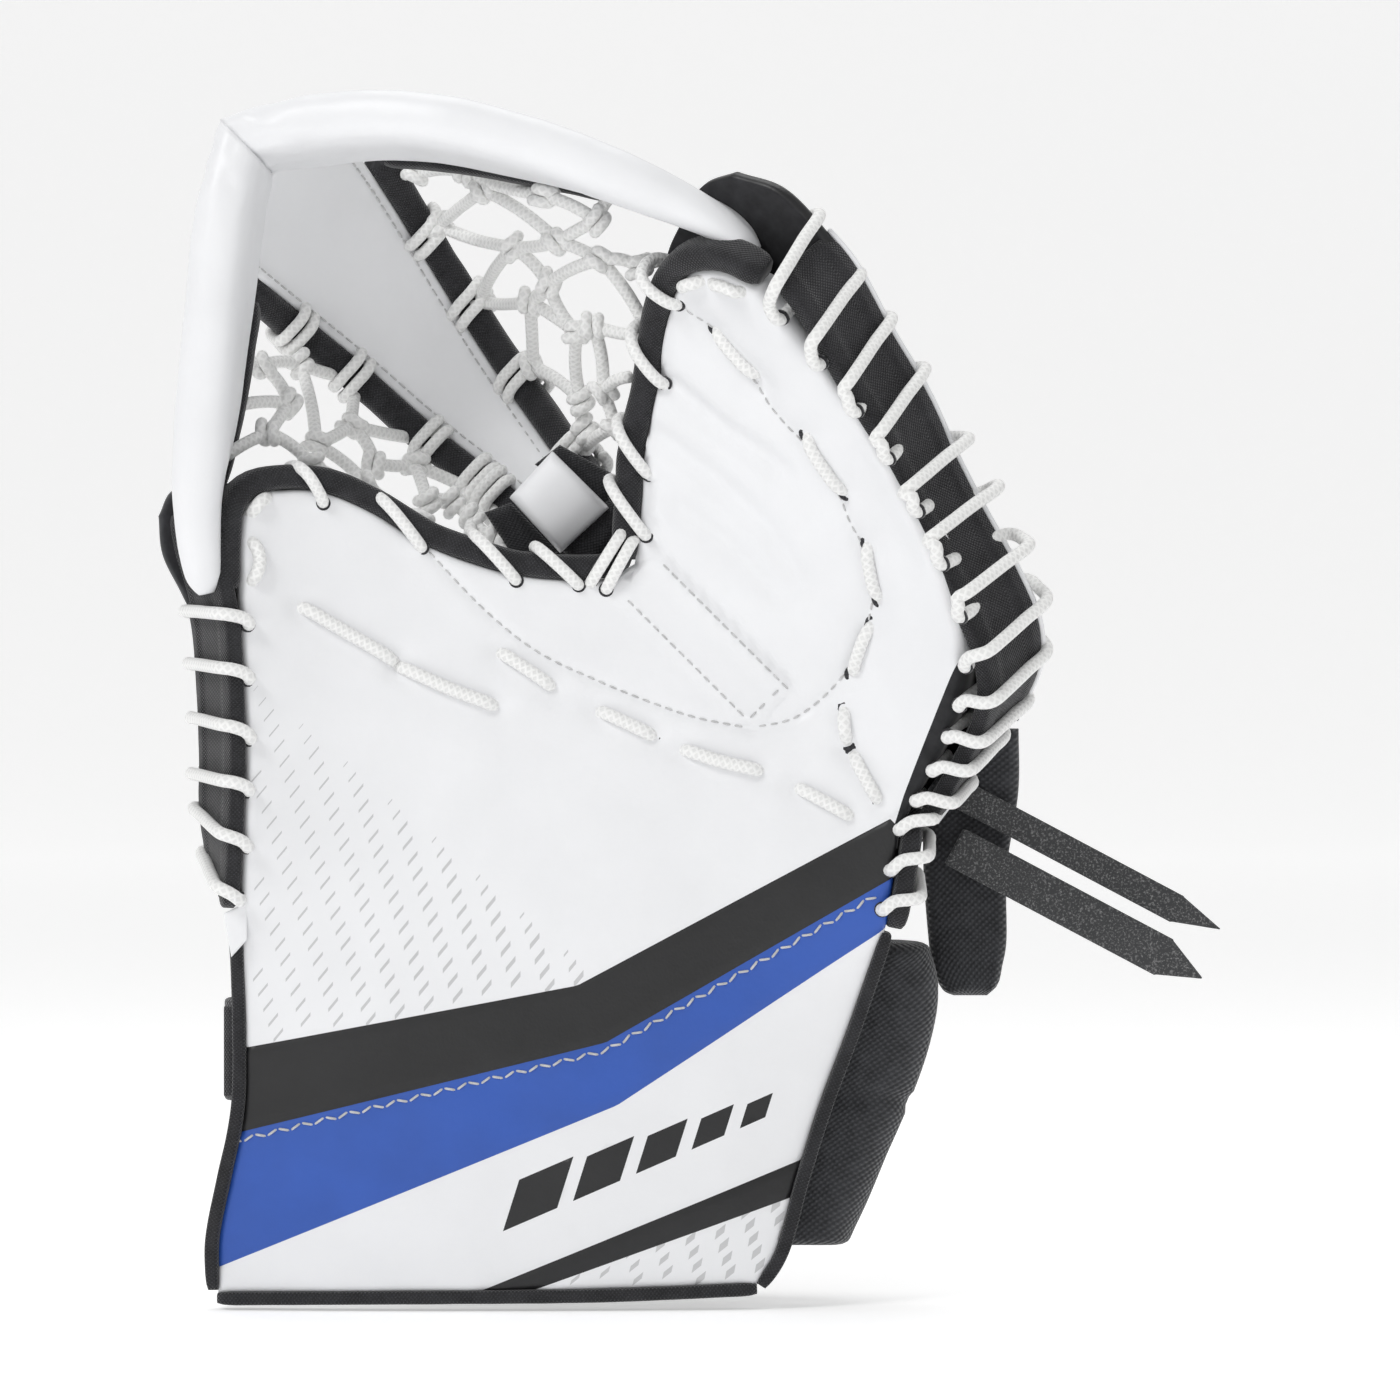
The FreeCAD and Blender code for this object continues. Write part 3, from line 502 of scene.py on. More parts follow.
class Graph:
    """A material's node graph, with a Principled shader and one bump chain."""

    def __init__(self, name, colour, roughness, specular=0.5, sheen=0.0):
        self.material = bpy.data.materials.new(name)
        self.material.use_nodes = True
        self.tree = self.material.node_tree
        self.shader = self.tree.nodes["Principled BSDF"]
        self.shader.inputs["Base Color"].default_value = (*colour, 1)
        self.shader.inputs["Roughness"].default_value = roughness
        self.shader.inputs["Specular IOR Level"].default_value = specular
        self.shader.inputs["Sheen Weight"].default_value = sheen
        self.shader.inputs["Sheen Roughness"].default_value = 0.4
        self.place = self.node("TexCoord").outputs["Object"]
        self.run = self.node("UVMap").outputs["UV"]
        self.relief = None

    def node(self, kind, **values):
        made = self.tree.nodes.new("ShaderNode" + kind)
        for key, value in values.items():
            setattr(made, key, value)
        return made

    def link(self, source, target):
        self.tree.links.new(source, target)

    def noise(self, scale, detail=4.0, rough=0.55):
        made = self.node("TexNoise")
        self.link(self.place, made.inputs["Vector"])
        made.inputs["Scale"].default_value = scale
        made.inputs["Detail"].default_value = detail
        made.inputs["Roughness"].default_value = rough
        return made.outputs["Fac"]

    def cells(self, scale):
        made = self.node("TexVoronoi", feature="SMOOTH_F1")
        self.link(self.place, made.inputs["Vector"])
        made.inputs["Scale"].default_value = scale
        return made.outputs["Distance"]

    def math(self, operation, a, b=0.0):
        made = self.node("Math", operation=operation)
        for value, socket in ((a, made.inputs[0]), (b, made.inputs[1])):
            if isinstance(value, (int, float)):
                socket.default_value = value
            else:
                self.link(value, socket)
        return made.outputs[0]

    def ripple(self, along, across):
        """A sine over the piece's run, with that many waves to a millimetre along and across."""
        split = self.node("SeparateXYZ")
        self.link(self.run, split.inputs[0])
        phase = self.math("ADD", self.math("MULTIPLY", split.outputs[0], 2 * math.pi * along),
                          self.math("MULTIPLY", split.outputs[1], 2 * math.pi * across))
        return self.math("SINE", phase)

    def ramp(self, fac, low, high, start=0.35, end=0.65):
        """A colour that goes from low to high with fac."""
        made = self.node("ValToRGB")
        self.link(fac, made.inputs[0])
        for stop, place, colour in zip(made.color_ramp.elements, (start, end), (low, high)):
            stop.position, stop.color = place, (*colour, 1)
        return made.outputs[0]

    def span(self, fac, low, high):
        made = self.node("MapRange")
        self.link(fac, made.inputs[0])
        made.inputs[3].default_value, made.inputs[4].default_value = low, high
        return made.outputs[0]

    def bump(self, height, depth, strength=1.0):
        """Adds a layer of relief, its depth in millimetres."""
        made = self.node("Bump")
        made.inputs["Distance"].default_value = depth * MM
        made.inputs["Strength"].default_value = strength
        self.link(height, made.inputs["Height"])
        if self.relief is not None:
            self.link(self.relief, made.inputs["Normal"])
        self.relief = made.outputs["Normal"]
        self.link(self.relief, self.shader.inputs["Normal"])

    def colour(self, source):
        self.link(source, self.shader.inputs["Base Color"])

    def rough(self, source):
        self.link(source, self.shader.inputs["Roughness"])


def tinted(colour, share):
    return tuple(c * share for c in colour)


def leather(name, colour, roughness, shade, depth):
    """Smooth coated leather: fine pebbles, soft wrinkles, and a little dirt and polish."""
    graph = Graph(name, colour, roughness)
    graph.colour(graph.ramp(graph.noise(28, 5), tinted(colour, shade), colour, 0.3, 0.62))
    graph.rough(graph.span(graph.noise(90, 3), roughness - 0.07, roughness + 0.09))
    graph.bump(graph.noise(75, 3), 0.35, 0.5)
    graph.bump(graph.cells(950), depth, 0.7)
    graph.bump(graph.noise(2400, 2), 0.03, 0.5)
    return graph.material


def woven(name, colour, along, across, depth=0.22, sheen=0.25):
    """Ribbed or plain-woven cloth; its threads follow the piece's run."""
    graph = Graph(name, colour, 0.78, specular=0.3, sheen=sheen)
    warp, weft = graph.ripple(along, 0), graph.ripple(0, across)
    weave = graph.math("MULTIPLY", warp, weft)
    # painted highlight on the thread crowns and painted shade between the threads: the colour follows the
    # weave's height, with random tone from noise
    lit = graph.span(weave, 0.0, 1.0)
    graph.colour(graph.ramp(graph.math("ADD", graph.math("MULTIPLY", lit, 0.6), graph.noise(160, 3)),
                            tinted(colour, 0.75), tinted(colour, 1.9), 0.35, 1.1))
    graph.bump(weave, depth, 0.8)
    graph.bump(graph.noise(1800, 2), 0.05, 0.5)
    return graph.material


def braided(name, colour):
    """A round braided cord: strands that cross over each other round it."""
    graph = Graph(name, colour, 0.72, specular=0.35, sheen=0.2)
    left, right = graph.ripple(0.42, 0.277), graph.ripple(0.42, -0.277)
    height = graph.math("MAXIMUM", left, right)
    # painted shade in the grooves between the strands: the colour follows their height, with random tone
    # from noise
    graph.colour(graph.ramp(graph.math("ADD", graph.span(height, 0.0, 0.75), graph.math("MULTIPLY",
                 graph.noise(110, 3), 0.4)), tinted(colour, 0.87), colour, 0.15, 0.75))
    graph.bump(height, 0.16, 0.6)
    graph.bump(graph.noise(2600, 2), 0.04, 0.5)
    return graph.material


def speckled(name, colour, spot):
    """Felted strap cloth with pale flecks."""
    graph = Graph(name, colour, 0.9, specular=0.2, sheen=0.3)
    graph.colour(graph.ramp(graph.noise(1300, 2, 0.7), colour, spot, 0.52, 0.72))
    graph.bump(graph.noise(900, 3), 0.15, 0.7)
    return graph.material


def plain_thread(name, colour):
    graph = Graph(name, colour, 0.6, sheen=0.2)
    graph.colour(graph.ramp(graph.noise(400, 2), tinted(colour, 0.8), colour))
    graph.bump(graph.ripple(1.6, 0.9), 0.06, 0.6)
    return graph.material


WHITE = (0.83, 0.835, 0.85)
MATERIALS = {
    "white": leather("white_leather", WHITE, 0.40, 0.965, 0.05),
    "black": leather("black_leather", (0.010, 0.010, 0.011), 0.42, 0.7, 0.09),
    "blue": leather("blue_leather", (0.024, 0.094, 0.44), 0.42, 0.86, 0.08),
    "print": leather("grey_print", (0.56, 0.56, 0.57), 0.45, 0.95, 0.05),
    "mark": leather("dark_print", (0.012, 0.012, 0.013), 0.4, 0.8, 0.06),
    "nylon": woven("black_nylon", (0.020, 0.020, 0.022), 0.75, 0.62),
    "cloth": woven("lining_cloth", (0.026, 0.026, 0.029), 0.5, 0.5, 0.18, 0.4),
    "mesh": woven("back_cloth", (0.030, 0.031, 0.034), 0.42, 0.42, 0.35, 0.3),
    "lace": braided("lace_cord", (0.88, 0.88, 0.87)),
    "strap": speckled("speckled_strap", (0.055, 0.056, 0.058), (0.24, 0.24, 0.24)),
    "thread": plain_thread("white_thread", (0.62, 0.62, 0.62)),
    "dark_thread": plain_thread("dark_thread", (0.06, 0.06, 0.06)),
}


# ---- outlines and seams of the two halves, in the front view, as in part.py ------------------------

CROTCH = (FOLD_SUM - 258.0, 258.0)
HEEL = (FOLD_SUM - 165.0, 165.0)
LEFT_EDGE = [(-106.8, 1.4), (-107, 21), (-102.9, 42), (-98, 66.5), (-97.3, 94.5), (-98, 122.5),
             (-95.9, 154), (-94.5, 189), (-95.9, 231), (-96.6, 266)]
THUMB_TIP = [(-96.6, 266), (-94.5, 278), (-86, 283.5)]
PALM_TOP = [(-86, 283.5), (-70, 283.5), (-52.5, 276.5), (-31.5, 264), (-7, 255.5), (14, 252.7), (30, 253),
            CROTCH]
CUFF_RIGHT = [HEEL, (130.5, 143.5), (127.8, 127.8), (115.5, 92.8), (105.7, 66.5), (98, 42), (91, 17.5),
              (83.3, 4.5)]
CUFF_BOTTOM = [(83.3, 4.5), (28, 2.8), (-42, 2.1), (-106.8, 1.4)]
WING_LEFT = [CROTCH, (42, 280), (43, 297.5), (47.3, 318.5), (49.7, 336), (53.2, 350)]
WING_TIP = [(53.2, 350), (59.5, 357), (70, 357), (82.3, 350.5)]
WING_RIGHT = [(82.3, 350.5), (90.5, 340), (103, 323.5), (115.5, 307), (126.5, 291), (136.3, 273),
              (144.7, 255), (151, 236), (153, 222), (151.5, 207), (146, 191), (138.3, 175.5), HEEL]

FAR_LEFT, FAR_RIGHT = -150, 185
BAND_TOP = straight((FAR_LEFT, 78), (20, 110), (FAR_RIGHT, 197.8))
BLUE_TOP = straight((FAR_LEFT, 45.7), (30, 90), (FAR_RIGHT, 178.7))
BLUE_BOTTOM = straight((FAR_LEFT, -6.9), (34, 68), (FAR_RIGHT, 166.9))
STRIPE_TOP = straight((FAR_LEFT, -51.9), (FAR_RIGHT, 83.4))
STRIPE_BOTTOM = straight((FAR_LEFT, -51.4), (FAR_RIGHT, 67.1))

# Sewn lines that pull the padding in
PALM_SEAM = smooth([(-33, 263), (-13, 242), (6, 227), (29, 216), (49, 208), (63, 203.5), (80.5, 200.2)])
ARC_SEAM = smooth([(56.9, 345.9), (66.6, 336.3), (80.5, 319.1), (97.6, 298.8), (109.4, 281.6), (118, 263.4),
                   (121.8, 245), (113.8, 220.5), (98, 204.8), (80.5, 200.2)])
SOFT_FOLD = smooth([(50, 322), (71, 305), (88, 294), (104, 275)])
# The black cloth that lies over the heel end of the fingers' front, inside the laced band
PATCH_EDGE = straight((163, 246), (155.5, 231), (146.5, 208), (134.4, 176.5), (126, 150))
STRIP_LOW, STRIP_HIGH, STRIP_START, STRIP_END = -12.5, 8.5, 84.0, 152.0

# Visible runs of the tie laces
PALM_TIES = [[(-76.3, 242.9), (-58, 232), (-43, 223.3)], [(-43, 222.2), (-25, 214), (-8.4, 207.9)],
             [(-7.4, 227.1), (11.5, 214.6)], [(27.3, 206.5), (46.9, 197.4)],
             [(56.7, 192.9), (70, 188.5), (84.5, 185.2)], [(97, 179.6), (116, 169.2)]]
FINGER_TIES = [[(66.5, 337.2), (81.5, 320.6)], [(99.2, 301.4), (112.6, 281.1)],
               [(120, 263.6), (124, 244.3)], [(121.2, 235.6), (115.4, 218.4)],
               [(113.1, 206.5), (114.2, 195)], [(116.5, 191), (125.5, 174.5)]]

RIM_ROUND = 3.0
RIMS = [joined([LEFT_EDGE, THUMB_TIP, PALM_TOP]), joined([CUFF_RIGHT, CUFF_BOTTOM]),
        joined([WING_LEFT, WING_TIP, WING_RIGHT])]
WING_LOOP = joined([WING_LEFT, WING_TIP, WING_RIGHT, [HEEL, CROTCH]])
PALM_LOOP = joined([LEFT_EDGE, THUMB_TIP, PALM_TOP, [CROTCH, HEEL], CUFF_RIGHT, CUFF_BOTTOM])


def height_above(seam, x, z):
    return z - np.interp(x, seam[:, 0], seam[:, 1])


def drop(distances, radius):
    """How far a rounded edge falls, that far from the edge."""
    d = np.clip(distances, 0, radius)
    return radius - np.sqrt(np.maximum(0, radius ** 2 - (radius - d) ** 2))


def groove(places, line, depth, width):
    return -depth * np.exp(-((distance(places, line) / width) ** 2))


# Soft creases in the leather of the finger half, with the depth and width of each
CREASES = [
    ([(52, 322), (70, 306), (91, 290)], 2.6, 3.4),
    ([(48, 303), (66, 290), (88, 270), (98, 252)], 2.4, 4.2),
    ([(61, 339), (74, 329), (86, 317)], 2.0, 3.2),
    ([(56, 277), (74, 264), (91, 246)], 1.8, 4.2),
    ([(98, 332), (111, 309), (123, 284), (135, 258)], 1.8, 5.0),
]


def strip_share(u, v):
    """1 on the break strip, 0 off it."""
    inside = np.minimum.reduce([v - STRIP_LOW, STRIP_HIGH - v, u - STRIP_START, STRIP_END - u])
    return ease(inside + 0.5)


def front_lift(x, z):
    """How far the padded front stands off the plain catching surface."""
    shape = np.shape(x)
    x, z = np.ravel(x), np.ravel(z)
    places = np.stack([x, z], 1)
    u, v = fold_uv(x, z)
    lift = np.zeros(len(x))
    for rim in RIMS:
        lift -= drop(distance(places, rim), RIM_ROUND)
    for seam in (BAND_TOP, BLUE_TOP, BLUE_BOTTOM, STRIPE_TOP, STRIPE_BOTTOM):
        lift += groove(places, seam, 0.55, 0.9)
    lift += groove(places, PALM_SEAM, 0.7, 1.5) + groove(places, ARC_SEAM, 1.1, 2.2)
    arc = np.vstack([ARC_SEAM, [(50, 250), (44, 300)]])
    inside = contains(arc, places)
    lift += np.where(inside, 2.4, 0.8) * ease(distance(places, ARC_SEAM) / 16) * (v > 0) * ease(v / 22)
    lift += groove(places, SOFT_FOLD, 1.5, 5.0) * (v > 0)
    for line, depth, width in CREASES:
        lift += groove(places, np.array(line, float), depth, width) * ease(v / 14)
    for run in PALM_TIES + FINGER_TIES:
        for x0, z0 in (run[0], run[-1]):
            lift -= 1.3 * np.exp(-((x - x0) ** 2 + (z - z0) ** 2) / 5.0 ** 2)
        lift += groove(places, np.array(run, float), 0.6, 5.0)
    lift += strip_share(u, v)
    crease = np.exp(-(((v - STRIP_HIGH - 1.2) / 1.6) ** 2)) * ease((u - 78) / 10) * ease((160 - u) / 8)
    lift -= 1.4 * crease
    points = np.stack([x, np.zeros(len(x)), z], 1)
    lift += 1.2 * wave(points, 70, 3) + 0.5 * wave(points, 26, 5) + 0.07 * wave(points, 8, 8)
    stretched = np.stack([(x + z) / 9, np.zeros(len(x)), (z - x) / 40], 1)
    lift += 0.35 * wave(stretched, 1.0, 2) * ease((z - 215) / 50) * ease(v / 12)
    return lift.reshape(shape)


def on_front(line):
    """Places on the padded front along a line in the front view, and the directions out of it."""
    x, z = line[:, 0], line[:, 1]
    back = back_normal(x, z)
    return surface(x, z) - back * front_lift(x, z)[:, None], -back


def stitches(shell, points, out, slot=0, length=2.7, gap=1.5, radius=0.36, sway=0.0):
    """Thread along a line of places: each stitch lies on the surface and dips at its ends."""
    run = lengths_of(points)

    def at(distance_along):
        share = np.clip(distance_along, 0, run[-1])
        return (np.array([np.interp(share, run, points[:, k]) for k in range(3)]),
                np.array([np.interp(share, run, out[:, k]) for k in range(3)]))

    for i, start in enumerate(np.arange(gap, run[-1] - length, length + gap)):
        path = []
        for share, height in ((0, -0.35), (0.18, 0.16), (0.5, 0.26), (0.82, 0.16), (1, -0.35)):
            place, normal = at(start + share * length)
            side = np.cross(normal, at(start + length)[0] - at(start)[0])
            offset = sway * (share - 0.5) * (1 if i % 2 else -1) * unit(side) if sway else 0
            path.append(place + normal * height + offset)
        shell.tube(path, radius, slot, sides=6)


# ---- printed marks ---------------------------------------------------------------------------------

def slanted(x, z, width, rise, height, lean=0.0):
    return [(x, z), (x + width, z + rise), (x + width + lean, z + rise + height), (x + lean, z + height)]


def dashes():
    """The field of fine slanted dashes on the palm's lower left; they grow towards its lower right."""
    marks = []
    for column in range(-4, 8):
        top_x = -92.5 + (15.4 * column if column > 0 else 11.4 * column)
        top_z = 213 - 13.3 * max(column, 0)
        for row in range(30):
            x, z = top_x + 1.75 * row, top_z - 5.35 * row
            if x < -94 or height_above(BAND_TOP, x, z) < -2:
                continue
            grown = min(1.0, 0.45 + 0.3 * row)
            height = grown * (0.55 + 0.7 * (213 - z) / 135 + 1.1 * (x + 95) / 110)
            marks.append(slanted(x, z, 3.4 * grown, 4.1 * grown, height))
    return marks


def corner_dashes():
    """A second field under the stripe at the cuff's corner."""
    marks = []
    for column in range(-6, 2):
        for row in range(-3, 10):
            x, z = 78.6 + 10.4 * column + 1.15 * row, 22.9 + 2.2 * column - 4.7 * row
            if height_above(STRIPE_BOTTOM, x, z) > 1 or z < 4 or x < -30 or x > 92:
                continue
            grown = 0.35 + 0.65 * min(1.0, max(0.0, (x + 10) / 80))
            marks.append(slanted(x, z, 3.3, 2.6, 3.1 * grown, 0.6))
    return marks


def blocks():
    """Five plain slanted blocks in a row; each is smaller than the last."""
    marks = []
    x, z = -6.0, 24.0
    for size in (19, 16.5, 14, 11.5, 9):
        marks.append(slanted(x, z, size, 0.43 * size, 0.95 * size, 0.3 * size))
        x, z = x + size + 5.5, z + 0.43 * (size + 5.5)
    return marks


# ---- front covers ----------------------------------------------------------------------------------

PALM_SLOTS = [MATERIALS[n] for n in ("white", "black", "blue", "print", "mark", "cloth")]


def palm_paint(x, z, printed):
    slot = np.zeros(len(x))
    above_band, above_blue = height_above(BAND_TOP, x, z) > 0, height_above(BLUE_TOP, x, z) > 0
    above_white = height_above(BLUE_BOTTOM, x, z) > 0
    slot[~above_band & above_blue] = 1
    slot[~above_blue & above_white] = 2
    stripe = (height_above(STRIPE_TOP, x, z) < 0) & (height_above(STRIPE_BOTTOM, x, z) > 0)
    corner = height_above(STRIPE_BOTTOM, x, z) < 0
    slot[stripe] = 1
    slot[printed & (above_band | corner)] = 3
    slot[printed & ~above_band & ~above_white & ~stripe & ~corner] = 4
    return slot


def palm_cover():
    seams = [BAND_TOP, BLUE_TOP, BLUE_BOTTOM, STRIPE_TOP, STRIPE_BOTTOM, PALM_SEAM]
    cover = panel("palm_cover", PALM_LOOP, 0, 10.5, front_lift, palm_paint, PALM_SLOTS, seams,
                  dashes() + corner_dashes() + blocks())
    held(cover, ON_PALM, "white_leather", "palm_leather", "palm_foam", "palm_liner", "thumb_liner",
         "cuff_black_band", "cuff_blue_band", "cuff_white_panel", "cuff_black_stripe", "cuff_corner_panel",
         "cuff_foam", "cuff_board", "cuff_liner", "break_strip", fill=0.75)


def finger_cover():
    def paint(x, z, printed):
        return np.where(x > np.interp(z, PATCH_EDGE[::-1, 1], PATCH_EDGE[::-1, 0]), 1, 0)

    cover = panel("finger_cover", WING_LOOP, 0, 11.5, front_lift, paint,
                  [MATERIALS["white"], MATERIALS["nylon"], MATERIALS["cloth"]], [ARC_SEAM, PATCH_EDGE])
    held(cover, ON_FINGERS, "white_leather", "finger_leather", "finger_foam", "finger_liner", fill=0.75)


def strip_line(u0, v0, u1, v1):
    line = straight((u0, v0), (u1, v1))
    return np.stack(from_uv(line[:, 0], line[:, 1]), 1)


def palm_stitching():
    thread = Shell()
    stitches(thread, *on_front(PALM_SEAM))
    stitches(thread, *on_front(strip_line(148, STRIP_LOW + 1.6, 87, STRIP_LOW + 1.6)))
    stitches(thread, *on_front(strip_line(87, STRIP_LOW + 1.6, 87, 0)))
    inside = [p for p in BLUE_TOP if -103 < p[0] < 128]
    line = np.array(inside) + (0, -2.8)
    stitches(thread, *on_front(line), length=3.2, gap=1.1, radius=0.45, sway=1.3)
    held(thread.make("palm_stitching", MATERIALS["thread"]), ON_PALM, "white_leather")


def finger_stitching():
    thread = Shell()
    stitches(thread, *on_front(ARC_SEAM))
    stitches(thread, *on_front(strip_line(148, STRIP_HIGH - 1.6, 84, STRIP_HIGH - 1.6)))
    stitches(thread, *on_front(strip_line(87, 0, 87, STRIP_HIGH - 1.6)))
    held(thread.make("finger_stitching", MATERIALS["thread"]), ON_FINGERS, "white_leather")


# ---- edges -----------------------------------------------------------------------------------------

FINGER_EDGE = [(84, 350), (92.8, 339.5), (105, 318.5), (119, 295.8), (133, 266), (145.3, 241.5),
               (153.3, 222.3), (154, 207), (146, 188), (135.5, 169.5)]
THUMB_EDGE = [(-97.6, 136), (-95.9, 154), (-94.5, 189), (-95.9, 231), (-98.5, 250), (-102, 264),
              (-104, 277)]
HEEL_EDGE = [(133.8, 167), (131.5, 150), (130.5, 143.5), (127.8, 130)]
PALM_POCKET = [(-96.4, 249), (-96.6, 266), (-94.5, 278), (-86, 283.5), (-70, 283.5), (-52.5, 276.5),
               (-31.5, 264), (-7, 255.5), (14, 252.7), (29, 253.2), (36, 255.5), (39.5, 259)]
FINGER_POCKET = [(41, 259.5), (42, 280), (43, 297.5), (47.3, 318.5), (49.7, 336), (53.2, 350),
                 (59.5, 357), (70, 357), (82, 351)]


def laced_profile(width, depth, outward, back):
    """A deep laced band: a folded tape lies over both of its edges and stands a little proud."""
    profile = box_profile(width, depth, outward, back, 6.0, 64)
    outer = profile[:, 0] > outward + width * 0.3
    front, rear = back - depth / 2 + 8, back + depth / 2 - 8
    on_tape = ease((front - profile[:, 1]) / 0.8) + ease((profile[:, 1] - rear) / 0.8)
    profile[:, 0] += outer * 0.7 * on_tape
    return profile


def edge_band(name, points, profile, node, holder, lump=0.25, seed=1.0):
    shell = Shell()
    sweep(shell, edge_frames(points), profile, lump=lump, seed=seed)
    held(shell.make(name, MATERIALS["nylon"]), holder, "black_nylon", node)


def bands():
    edge_band("thumb_edge_band", THUMB_EDGE, laced_profile(6, 36, 3.2, 17), "thumb_edge_binding", "palm")
    edge_band("finger_edge_band", FINGER_EDGE, laced_profile(6.4, 33, 6.0, 18.6), "finger_edge_binding",
              ON_FINGERS)
    edge_band("heel_band", HEEL_EDGE, laced_profile(7, 36, 3.7, 17), "heel_binding", ON_PALM)
    edge_band("palm_pocket_band", PALM_POCKET, box_profile(9, 14, 4.2, 5.2, 3.2), "palm_pocket_binding",
              ON_PALM, 0.45, 2.0)
    edge_band("finger_pocket_band", FINGER_POCKET, box_profile(10, 14, 4.7, 5.2, 3.0),
              "finger_pocket_binding", ON_FINGERS, 0.45, 4.0)


def cuff_tapes():
    profile = box_profile(5.0, 12.5, 1.3, 4.6, 5.0)
    for name, points in (
        ("left", [(-97.9, 132), (-97.3, 94.5), (-98, 66.5), (-102.9, 42), (-107, 21), (-106.8, 3)]),
        ("bottom", [(-106.5, 1.3), (-42, 2.0), (28, 2.7), (83, 4.6)]),
        ("right", [(83.5, 5), (91, 17.5), (98, 42), (105.7, 66.5), (115.5, 92.8), (127.5, 128)]),
    ):
        shell = Shell()
        sweep(shell, edge_frames(points, -1), profile, lump=0.15, seed=7)
        made = shell.make(f"cuff_tape_{name}", MATERIALS["nylon"])
        held(made, "palm", "black_nylon", f"cuff_trim_{name}")


def piping():
    """The pale cord sewn into the outer edge of the finger side's laced band."""
    place, outward, back = edge_frames(FINGER_EDGE)
    shell = Shell()
    shell.tube(place + outward * 9.4 + back * BAND_DEPTH, 1.0)
    held(shell.make("finger_piping", MATERIALS["white"]), ON_FINGERS, "white_leather")


def gussets():
    """The cloth walls that close the thumb and finger stalls towards the pocket."""
    for name, points, node, holder in (
        ("thumb_stall_wall", PALM_POCKET[2:], "thumb_gusset", ON_PALM),
        ("finger_stall_wall", FINGER_POCKET[:-2], "finger_gusset", ON_FINGERS),
    ):
        shell = Shell()
        sweep(shell, edge_frames(points), box_profile(2.2, 21.5, -1.5, 21, 6.0), lump=0.5, seed=5)
        held(shell.make(name, MATERIALS["cloth"]), holder, "lining", node)


# ---- laces -----------------------------------------------------------------------------------------

# Holes of the edge laces in the front view: down the fingers' outer edge, the heel, and the thumb's edge
FINGER_HOLES = [(90.7, 341.1), (104.1, 325.6), (116.9, 309.5), (128.2, 293.4), (138.4, 275.2), (146.9, 257),
                (153.4, 239), (155.4, 222), (153.4, 208.3), (149.5, 197.4), (144.2, 185.5), (138.5, 174.8)]
HEEL_HOLES = [(132.8, 164.6), (129.7, 150.4), (126.9, 136.5)]
THUMB_HOLES = [(-94.2, 236.4), (-94, 217.4), (-93.5, 196.5), (-94, 178.5), (-94.6, 158.9), (-97.4, 140.2)]


def winding(shell, holes, edge, sign, reach, depth, slant):
    """A lace that winds round a laced band; sign is the side on which the band lies along the holes.

    The band's outside is reach beyond its edge. Slant is how far each turn leans to the next hole, as a
    share of the way there."""
    holes = np.array(holes, float)
    edge = smooth(edge, 0.5)
    place = surface(holes[:, 0], holes[:, 1])
    back = back_normal(holes[:, 0], holes[:, 1])
    outward = unit(np.cross(unit(np.gradient(place, axis=0)), back)) * sign
    over = LACE_R + 0.3
    route = []
    for i in range(len(holes)):
        here, out, rear = place[i], outward[i], back[i]
        step = place[i + 1] - here if i < len(holes) - 1 else here - place[i - 1]
        lean = slant * (1 + 0.12 * math.sin(2.4 * i))
        nearest = edge[np.argmin(np.linalg.norm(edge - holes[i], axis=1))]
        inset = np.dot(holes[i] - nearest, unit(out[[0, 2]]))
        far = reach - inset
        for along, a, b in (
            (0.0, -inset - 1, depth * 0.5), (0.0, -1.0, 6.0), (0.0, 0.2, -0.8),
            (0.14 * lean, 1.2, -over - 0.1), (0.36 * lean, 3.6, -over - 0.3),
            (0.52 * lean, far - 0.6, -over - 0.1),
            (0.60 * lean, far + over * 0.8, 0.4), (0.70 * lean, far + over, depth * 0.25),
            (0.84 * lean, far + over + 0.1, depth * 0.6), (0.95 * lean, far + over - 0.2, depth - 1.5),
            (1.02 * lean, far * 0.6, depth + over), (0.9, -inset, depth + over * 0.6),
        ):
            route.append(here + out * a + rear * b + step * along)
    shell.tube(smooth(route, 1.3), LACE_R, sides=14)


def dipped(points):
    """A tie lace's line: it comes out of one hole, lies on the padding and goes into the next."""
    line = smooth(points, 1.2) if len(points) > 2 else even(np.array(points, float), 1.2)
    place, out = on_front(line)
    run = lengths_of(line)
    near = np.minimum(run, run[-1] - run)
    height = LACE_R * 0.72 * ease(near / 4.5) - 4.0 * (1 - ease((near + 0.8) / 3.0))
    return place + out * height[:, None]


def hole_shade_disc(shell, x, z, radius=2.9):
    """A dark disc of lining cloth on the padding where a lace goes in: painted shade of the hole."""
    place, out = on_front(np.array([(x, z)], float))
    side = unit(np.cross(out[0], (0, 0, 1.0)))
    up = np.cross(side, out[0])
    angles = np.arange(18) * 2 * math.pi / 18
    ring = np.cos(angles)[:, None] * side + np.sin(angles)[:, None] * up
    rings = [place[0] + ring * radius * size + out[0] * height
             for size, height in ((0.35, -0.5), (0.7, 0.25), (0.95, 0.30), (1.05, 0.12), (1.1, -0.8))]
    shell.loft(rings, 1)


def tie_laces(name, runs, node, holder):
    shell = Shell()
    for run in runs:
        shell.tube(dipped(run), LACE_R, sides=12)
        for x, z in (run[0], run[-1]):
            # painted shade: a dark disc at each end's hole
            hole_shade_disc(shell, x, z)
    held(shell.make(name, MATERIALS["lace"], MATERIALS["cloth"]), holder, "lace", node)


